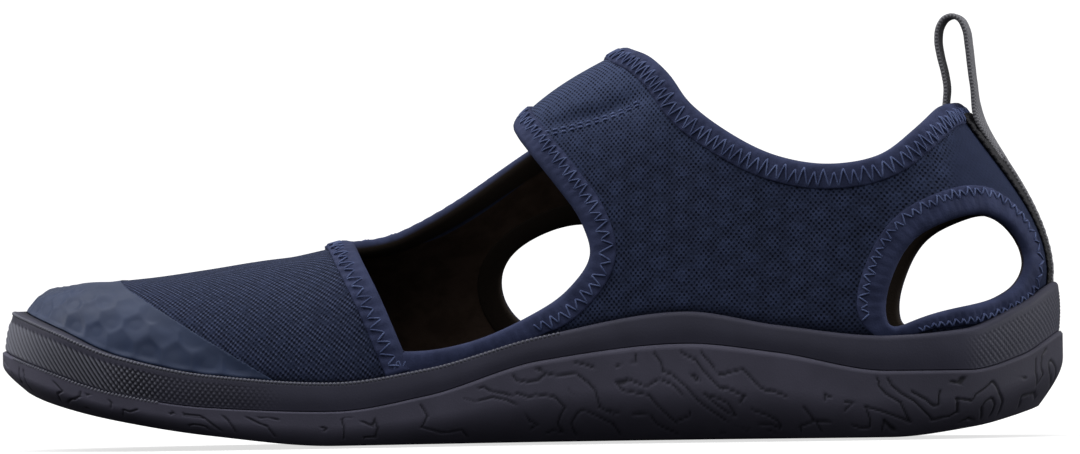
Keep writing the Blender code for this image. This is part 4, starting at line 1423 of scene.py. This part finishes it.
def rand():
    """The rubber rim: up from the tray, over the knurled face and the round rim, down into the cup."""
    places = spread(RAND_FINE, RAND_COARSE, DOT_ENDS[1], HEEL_KNURL[0])
    section = sections(places)
    x = section.edge[:, 0]
    part = side_height(section, "part") + RAND_FOOT
    rim = side_height(section, "rim")
    lean = rand_lean(x)
    rows, plain = tray(section, GAP), np.zeros(len(places))
    dark, light = [plain] * len(rows), [plain] * len(rows)
    for k in range(RAND_ROWS + 1):
        share = k / RAND_ROWS
        up = share * (rim - RIM_ROUND - part)
        pattern, strength = knurl(places, x, up)
        strength = strength * smooth_step(*HATCH_FOOT, share) * (1.0 - smooth_step(*HATCH_TOP, share))
        swell = RAND_SWELL * np.sin(math.pi * share) + strength * HATCH_DEPTH * (pattern - 0.5)
        rows.append(lift(inset_edge(section, BAND_STEP + lean * share - swell), part + up))
        # Painted shade in the knurl's valleys
        dark.append((1.0 - pattern) * strength * HATCH_PAINTED_SHADE)
        # Painted highlight on the knurl's tips, and painted light over the heel's knurl from the heel
        # side
        light.append(pattern * strength ** 2 * HATCH_HIGHLIGHT + HEEL_PAINTED_LIGHT * smooth_step(*HEEL_KNURL, x))
    for turn in RIM_TURNS:
        away = BAND_STEP + lean + RIM_ROUND * (1.0 - math.cos(turn))
        rows.append(lift(inset_edge(section, away), rim - RIM_ROUND * (1.0 - math.sin(turn))))
    rises = even_rises(section, 0.0, rise_at(section, rim), CUP_LEVELS)
    cup = [last_point(section, rise, grow=GAP) for rise in rises]
    cup[0][:, 2] -= GAP
    rows += cup[::-1]
    rows.append(lift(section.spine, height("floor", section.spine[:, 0])))
    dark += [plain] * (len(rows) - len(dark))
    light += [plain] * (len(rows) - len(light))
    piece = grid("rand", rows, dark, light)
    weld(piece)
    mark_values(piece, "groove", "tip")
    hand_over(piece, "rim_rubber", [RAND_RUBBER], "midsole")


rand()

# %% [markdown]
# A row of small beads runs along the rand's upper edge and along the outsole's edge at the toe.  One
# bead is modelled from a small sphere and copied along both lines.

# %% Beads
BEAD_RADIUS = 0.34
TOE_BEAD_RADIUS = 0.30
BEAD_PITCH = 0.82
BEAD_SINK = 0.27
BEAD_HIGHLIGHT = 0.55
TOE_BEAD_INSET = 0.12
TOE_BEAD_DROP = 0.05
RIM_BEADS = (-LENGTH, 8.0)
TOE_BEADS = (-101.0, -70.0)


def beads(name, points, slot, finish, radius):
    """One bead copied to every point, joined into one mesh."""
    bpy.ops.mesh.primitive_ico_sphere_add(subdivisions=2, radius=radius * MM)
    bead = bpy.context.object
    shape, _ = corners(bead)
    faces = [tuple(p.vertices) for p in bead.data.polygons]
    bpy.data.objects.remove(bead)
    piece = joined(name, points[:, None] + shape[None], faces)
    # Painted highlight: every bead is marked to take the light tip colour
    mark(piece, "tip", np.full(len(piece.data.vertices), BEAD_HIGHLIGHT))
    hand_over(piece, slot, [finish])


def bead_places(front, rear):
    """Sections one bead apart, between two places along the shoe."""
    places = np.arange(0.0, GIRTH, BEAD_PITCH)
    x = sections(places).edge[:, 0]
    return sections(places[(x > front) & (x < rear)])


rim_places = bead_places(*RIM_BEADS)
rim_inset = BAND_STEP + BEAD_SINK + rand_lean(rim_places.edge[:, 0])
rim_line = lift(inset_edge(rim_places, rim_inset), side_height(rim_places, "rim") - BEAD_SINK)
beads("rand_beads", rim_line, "rim_rubber", RAND_RUBBER, BEAD_RADIUS)
toe_places = bead_places(*TOE_BEADS)
toe_height = side_height(toe_places, "part") - TOE_BEAD_DROP
toe_line = lift(inset_edge(toe_places, TOE_BEAD_INSET), toe_height)
beads("outsole_beads", toe_line, "sole_rubber", SOLE_RUBBER, TOE_BEAD_RADIUS)

# %% [markdown]
# ## Outsole
# The outsole is a rubber tray with its wall engraved like a contour map: broken, angular grooves.
# Random heights on a triangular net have straight contour lines that bend at the net's edges, so
# their distance is easy to measure and each groove keeps one width.  The tread gets wavy sipes.

# %% Contour map
NET_ROWS = 14
COARSE_NET = (13.0, 8.5)
FINE_NET = (4.4, 3.4)
COARSE_SEED = 11
FINE_SEED = 3
BREAK_SEED = 5
BREAK_SHIFT = 40.0
BREAK_LEVELS = (0.24, 0.30)
FINE_SHARE = 0.32
LEAST_SLOPE = 0.03
MAP_LEVELS = (0.34, 0.50, 0.66)
GROOVE_RAMP = (0.042, 0.266)


def net_height(along, up, net, seed):
    """Random heights, flat over each triangle of a net that closes round the shoe, and their slope."""
    rng = np.random.default_rng(seed)
    count = int(round(GIRTH / net[0]))
    knot = rng.random((count, NET_ROWS))
    x, y = along / GIRTH * count, up / net[1] + 1.0
    i, j = np.floor(x).astype(int), np.clip(np.floor(y).astype(int), 0, NET_ROWS - 2)
    fx, fy = x - i, y - j
    a, b = knot[i % count, j], knot[(i + 1) % count, j]
    c, d = knot[i % count, j + 1], knot[(i + 1) % count, j + 1]
    lower = fx > fy
    gx = np.where(lower, b - a, d - c)
    gy = np.where(lower, d - b, c - a)
    return a + gx * fx + gy * fy, np.array([gx * count / GIRTH, gy / net[1]])


def engraving(along, up):
    """How deep the contour grooves are at a place on the wall, from 0 to 1."""
    coarse, coarse_slope = net_height(along, up, COARSE_NET, COARSE_SEED)
    fine, fine_slope = net_height(along, up, FINE_NET, FINE_SEED)
    value = coarse + (fine - coarse) * FINE_SHARE
    slope = np.hypot(*(coarse_slope + (fine_slope - coarse_slope) * FINE_SHARE))
    apart = np.min([np.abs(value - level) for level in MAP_LEVELS], axis=0)
    apart = apart / np.maximum(slope, LEAST_SLOPE)
    groove = 1.0 - smooth_step(*GROOVE_RAMP, apart)
    gaps = net_height(along + BREAK_SHIFT, up, FINE_NET, BREAK_SEED)[0]
    return groove * smooth_step(*BREAK_LEVELS, gaps)


print(len(MAP_LEVELS), "contour levels")

# %% Outsole
OUTSOLE_COLUMNS = 1680
WALL_ROWS = 40
WALL_TOP = 0.96
TRAY_EDGE = 0.4
GROOVE_DEPTH = 0.30
GROOVE_PAINTED_SHADE = 0.8
GROOVE_FOOT = (0.9, 1.6)
GROOVE_TOP = (1.0, 1.7)
TREAD_ROWS = 10
SIPE_PITCH = 7.0
SIPE_SWING = 1.6
SIPE_TURN = 0.45
SIPE_DEPTH = 1.0
SIPE_EDGE = (0.80, 0.97)
SIPE_START = (0.05, 0.15)


def outsole():
    """The tray, its engraved wall and its tread with sipes, as one closed grid."""
    places = np.linspace(0.0, GIRTH, OUTSOLE_COLUMNS + 1)
    section = sections(places)
    part = side_height(section, "part")
    rows = tray(section, 0.0)
    rows.append(lift(inset_edge(section, TRAY_EDGE), part))
    dark = [np.zeros(len(places))] * len(rows)
    for k in range(WALL_ROWS + 1):
        share = WALL_TOP * (1.0 - k / WALL_ROWS)
        edge = inset_edge(section, tuck_depth(section, share))
        tread = height("bottom", edge[:, 0])
        up = (part - tread) * share
        groove = engraving(places, up) * smooth_step(*GROOVE_FOOT, up)
        groove = groove * smooth_step(*GROOVE_TOP, part - tread - up)
        edge = inset_edge(section, tuck_depth(section, share) + GROOVE_DEPTH * groove)
        rows.append(lift(edge, tread + up))
        # Painted shade: groove floors are marked to be painted dark
        dark.append(GROOVE_PAINTED_SHADE * groove)
    rim = rows[-1][:, :2]
    for k in range(1, TREAD_ROWS + 1):
        share = k / TREAD_ROWS
        xy = rim + (section.spine - rim) * share
        swing = SIPE_SWING * np.sin(xy[:, 1] * SIPE_TURN)
        wave = np.cos(2.0 * math.pi * (xy[:, 0] + swing) / SIPE_PITCH)
        sipe = smooth_step(*SIPE_EDGE, wave) * smooth_step(*SIPE_START, share)
        rows.append(lift(xy, height("bottom", xy[:, 0]) + SIPE_DEPTH * sipe))
        # Painted shade: sipe floors are marked to be painted dark
        dark.append(sipe)
    piece = grid("outsole_tread", rows, dark, dark)
    weld(piece)
    mark_values(piece, "groove")
    hand_over(piece, "sole_rubber", [SOLE_RUBBER], "outsole")


outsole()

# %% [markdown]
# ## Footbed
# A thin foam insole lies loose in the cup.  Its top is dished a little towards the middle, and hardly
# any of it shows.

# %% Footbed
FOOTBED_COLUMNS = 320
INSOLE_THICKNESS = 3.0
DISH = 0.25
DISH_SHARES = np.linspace(0.06, 1.0, 16)


def footbed():
    """The foam insole, ring by ring from the middle of its underside to the middle of its top."""
    section = sections(np.linspace(0.0, GIRTH, FOOTBED_COLUMNS + 1))
    inset = section.inset + UPPER_WALL + 2 * GAP
    reach = 1.0 - section.foot_tuck

    def ring(more, up, share=0.0):
        foot = inset_edge(section, inset + more)
        xy = section.spine + (foot - section.spine) * reach[:, None] * (1.0 - share)
        return lift(xy, height("floor", xy[:, 0]) + GAP + up)

    top = INSOLE_THICKNESS
    rows = [ring(0.0, 0.0, 1.0), ring(0.4, 0.0), ring(0.0, 0.5), ring(0.0, top - 1.0)]
    rows += [ring(0.3, top - 0.3), ring(1.0, top)]
    rows += [ring(1.0, top - DISH * math.sin(math.pi * s / 2), s) for s in DISH_SHARES]
    piece = grid("footbed", rows)
    weld(piece)
    hand_over(piece, "footbed", [FOOTBED], "insole")


footbed()

# %% [markdown]
# ## Heel tape and pull loop
# A black tape covers the back seam, with puckered edges.  A grey ribbon is sewn down its middle, and
# another is folded into a loop above it.  All are sweeps of a flat, round-edged profile, laid on the
# skin or carried along the loop's route.

# %% Ribbons
# Outline of a ribbon, in halves of its width and thickness; SEAM_POINTS below are two of its points
RIBBON = [
    (-1.0, 0.0), (-0.97, 0.6), (-0.88, 0.92), (-0.6, 1.0), (-0.3, 1.0), (0.0, 1.0), (0.3, 1.0),
    (0.6, 1.0), (0.88, 0.92), (0.97, 0.6), (1.0, 0.0), (0.97, -0.6), (0.88, -0.92), (0.6, -1.0),
    (0.0, -1.0), (-0.6, -1.0), (-0.88, -0.92), (-0.97, -0.6), (-1.0, 0.0),
]


def heel_back(z, off):
    """The heel's middle line in x and z at a height, moved off the last's face."""
    section = sections(np.array([0.0]))
    point, higher = [last_point(section, rise_at(section, z + up))[0] for up in (0.0, 0.1)]
    along = unit(higher - point)
    return point[0] + along[2] * off, point[2] - along[0] * off


def ribbon(name, rows, length, width, finish, node):
    """A ribbon from its cross sections, with cloth coordinates and closed ends."""
    points = np.array(rows).transpose(1, 0, 2)
    across = np.array([u for u, _ in RIBBON]) * width / 2.0
    piece = grid(name, points, across[:, None], length)
    weld(piece, fill=True)
    hand_over(piece, "webbing", [finish], node)


print("ribbon of", len(RIBBON) - 1, "sides")

# %% Heel tape
TAPE_WIDTH = 12.6
TAPE_THICKNESS = 0.9
TAPE_START = 3.5
TAPE_TOP = 63.6
TAPE_ROWS = 110
TAPE_PUCKER = 1.6
TAPE_CRIMP = 0.12
TAPE_CRIMPED = (0.5, 0.9)
TAPE_MIDDLE = 0.58
TAPE_FACE = 1.04
TAPE_TAPER = 0.42
STRIP_WIDTH = 5.4
STRIP_SEAT = 0.55
STRIP_TOP = 62.0
SEAM_POINTS = [2, 8]
SEAM_RADIUS = 0.10
SEAM_ARCH = 0.02
SEAM_DIVE = 0.3
SEAM_TRIM = 0.12


def heel_strip(name, width, seat, top, crimp, finish):
    """A ribbon laid up the back seam; returns heights, and points and normals of two seam lines."""
    back = sections(np.array([0.0]))
    levels = np.linspace(side_height(back, "rim")[0] - TAPE_START, top, TAPE_ROWS)
    u, v = np.array(RIBBON).T
    rows, seam = [], []
    for z in levels:
        narrow = (heel_back(z, 0.0)[0] - back.spine[0, 0]) / (back.edge[0, 0] - back.spine[0, 0])
        slim = 1.0 - TAPE_TAPER * smooth_step(*TAPE_TAPER_Z, z)
        section = sections(u * width * slim / 2.0 / narrow)
        place, normal = settle(last_point(section, rise_at(section, z)))
        pucker = crimp * np.sin(2.0 * math.pi * z / TAPE_PUCKER) * smooth_step(*TAPE_CRIMPED, np.abs(u))
        off = seat + TAPE_THICKNESS * (TAPE_MIDDLE + 0.5 * v) + pucker
        rows.append(place + normal * off[:, None] * slim)
        face = place + normal * (seat + TAPE_THICKNESS * TAPE_FACE) * slim
        seam.append([face[SEAM_POINTS], normal[SEAM_POINTS]])
    ribbon(name, rows, levels, width, finish, "heel_tape")
    return levels, *np.array(seam).transpose(1, 2, 0, 3)


def heel_tape():
    """The black tape, the grey ribbon on it, and the stitches along the ribbon's edges."""
    heel_strip("heel_seam_tape", TAPE_WIDTH, 0.0, TAPE_TOP, TAPE_CRIMP, BLACK_WEBBING)
    levels, seam, normal = heel_strip(
        "heel_webbing", STRIP_WIDTH, STRIP_SEAT, STRIP_TOP, 0.0, GREY_WEBBING)
    count = int((levels[-1] - levels[0]) / TAPE_PUCKER) + 1
    stop = np.linspace(0, TAPE_ROWS - 2, count).astype(int)
    start, end, normal = [
        row.reshape(-1, 3) for row in (seam[:, stop[:-1]], seam[:, stop[1:]], normal[:, stop[:-1]])]
    trim = (end - start) * SEAM_TRIM
    sew("heel_stitches", start + trim, end - trim, normal, SEAM_RADIUS, SEAM_ARCH, SEAM_DIVE,
        GREY_WEBBING, "webbing")


heel_tape()

# %% Pull loop
LOOP_WIDTH = 9.0
LOOP_THICKNESS = 1.1
LOOP_STEPS = 120
LOOP_TURN = math.radians(3.0)
LOOP_ROUTE = [
    (82.0, 57.0), (82.3, 61.5), (82.8, 66.0), (83.0, 68.5), (82.6, 71.5), (81.8, 75.0), (81.4, 78.0),
    (81.8, 80.7), (82.9, 82.3), (84.4, 82.8), (85.8, 82.2), (86.9, 80.2), (87.4, 77.0), (87.8, 73.0),
    (88.2, 69.5), (88.8, 66.3),
]
LOOP_FOOT = ((62.0, 1.10), (54.0, 0.45))
LOOP_NARROW = 0.45
LOOP_THIN = 0.8
LOOP_BOW = 1.1


def pull_loop():
    """A ribbon that rises inside the heel, turns over and comes down onto the grey ribbon."""
    route = np.array([*LOOP_ROUTE, *[heel_back(z, off) for z, off in LOOP_FOOT]])
    knots = lengths(route)
    stops = np.linspace(0.0, knots[-1], LOOP_STEPS)
    line = hermite(knots, route, np.gradient(route, knots, axis=0), stops)
    along = unit(np.gradient(line, axis=0))
    rows = []
    for (x, z), (ax, az), stop in zip(line, along, stops):
        foot = smooth_step(knots[-2], knots[-1], stop)
        turn = LOOP_TURN * math.sin(math.pi * stop / knots[-1])
        reach = LOOP_WIDTH / 2.0 * (1.0 - LOOP_NARROW * foot)
        wide, tip = reach * math.cos(turn), reach * math.sin(turn)
        bow = LOOP_BOW * smooth_step(knots[-4], knots[-2], stop)
        thin = LOOP_THICKNESS / 2.0 * (1.0 - LOOP_THIN * foot)
        rows.append([(x + az * v * thin + u * tip - bow * u * u, u * wide, z - ax * v * thin)
                     for u, v in RIBBON])
    ribbon("loop_ribbon", rows, stops, LOOP_WIDTH, GREY_WEBBING, "pull_loop")


pull_loop()

# %% [markdown]
# ## Stage and light
# A pale floor and a white backdrop are seen but send no light to the shoe.  A wide soft
# sun, three boxes and a sky that darkens downwards light it.

# %% Floor and backdrop
PALE = (0.30, 0.30, 0.30)
PALER = (0.306, 0.306, 0.306)
WHITE = (1.0, 1.0, 1.0, 1.0)
STAGE_SIZE = 12.0
FLOOR_PLACE = (0.0, 0.0, -0.0005)
BACKDROP_PLACE = (0.0, 5.9, 0.0)
FLOOR_GLOW = 0.70
BACKDROP_GLOW = 1.0


def stage_finish(name, glow):
    """A pale, glowing paper."""
    finish = Finish(
        name, 0.9, Emission_Strength=glow, Emission_Color=WHITE, Specular_IOR_Level=0.0)
    tint = finish.place().noise(0.002).step(0.2, 0.8)
    finish.feed("Base Color", tint.colours(PALE, PALER))
    return finish.material


def add_plane(name, location, tilt, glow):
    """A plane of the stage that is seen but sends no light to the shoe."""
    bpy.ops.mesh.primitive_plane_add(
        size=STAGE_SIZE, location=location, rotation=(tilt, 0.0, 0.0))
    plane = bpy.context.object
    plane.name = name
    plane.data.materials.append(stage_finish(name, glow))
    plane.visible_diffuse = False
    plane.visible_glossy = False


add_plane("floor", FLOOR_PLACE, 0.0, FLOOR_GLOW)
add_plane("backdrop", BACKDROP_PLACE, math.pi / 2, BACKDROP_GLOW)
print("floor and backdrop,", STAGE_SIZE, "m wide")

# %% Lights
SKY = 0.42
SKY_FADE = (-0.7, 0.5)
SUN_POWER = 3.0
SUN_WIDTH = math.radians(75.0)
SUN_TURN = (math.radians(-4.0), math.radians(-14.0), 0.0)
SHOE_MIDDLE = Vector((0.0, 0.0, 0.03))

Light = namedtuple("Light", "name place size power")

# Soft boxes in metres and watts, all turned to the shoe
LIGHTS = [
    Light("toe_box", (-1.5, 0.35, 0.75), 0.9, 9.0),
    Light("heel_box", (1.5, 0.3, 0.6), 0.9, 15.0),
    Light("front_box", (-0.3, -2.4, 2.0), 1.6, 16.0),
]


def add_light(name, kind, energy, place=(0.0, 0.0, 0.0), **settings):
    """A lamp of one kind, with its settings."""
    light = bpy.data.lights.new(name, kind)
    light.energy = energy
    for key, value in settings.items():
        setattr(light, key, value)
    lamp = put(name, light)
    lamp.location = place
    return lamp


world = bpy.data.worlds.new("studio")
bpy.context.scene.world = world
world.use_nodes = True
sky = world.node_tree.nodes["Background"].inputs
ray = Wire(world.node_tree).node("ShaderNodeTexCoord", {})
glow = ray.part("Z").step(*SKY_FADE) * SKY
world.node_tree.links.new(glow.socket, sky["Strength"])
sky["Color"].default_value = WHITE
softbox = add_light("softbox", "SUN", SUN_POWER, angle=SUN_WIDTH)
softbox.rotation_euler = SUN_TURN
for lamp in LIGHTS:
    box = add_light(lamp.name, "AREA", lamp.power, lamp.place, size=lamp.size)
    aim = SHOE_MIDDLE - Vector(lamp.place)
    box.rotation_euler = aim.to_track_quat("-Z", "Y").to_euler()
bpy.context.scene.view_settings.view_transform = "Standard"
print("softbox and", [lamp.name for lamp in LIGHTS])
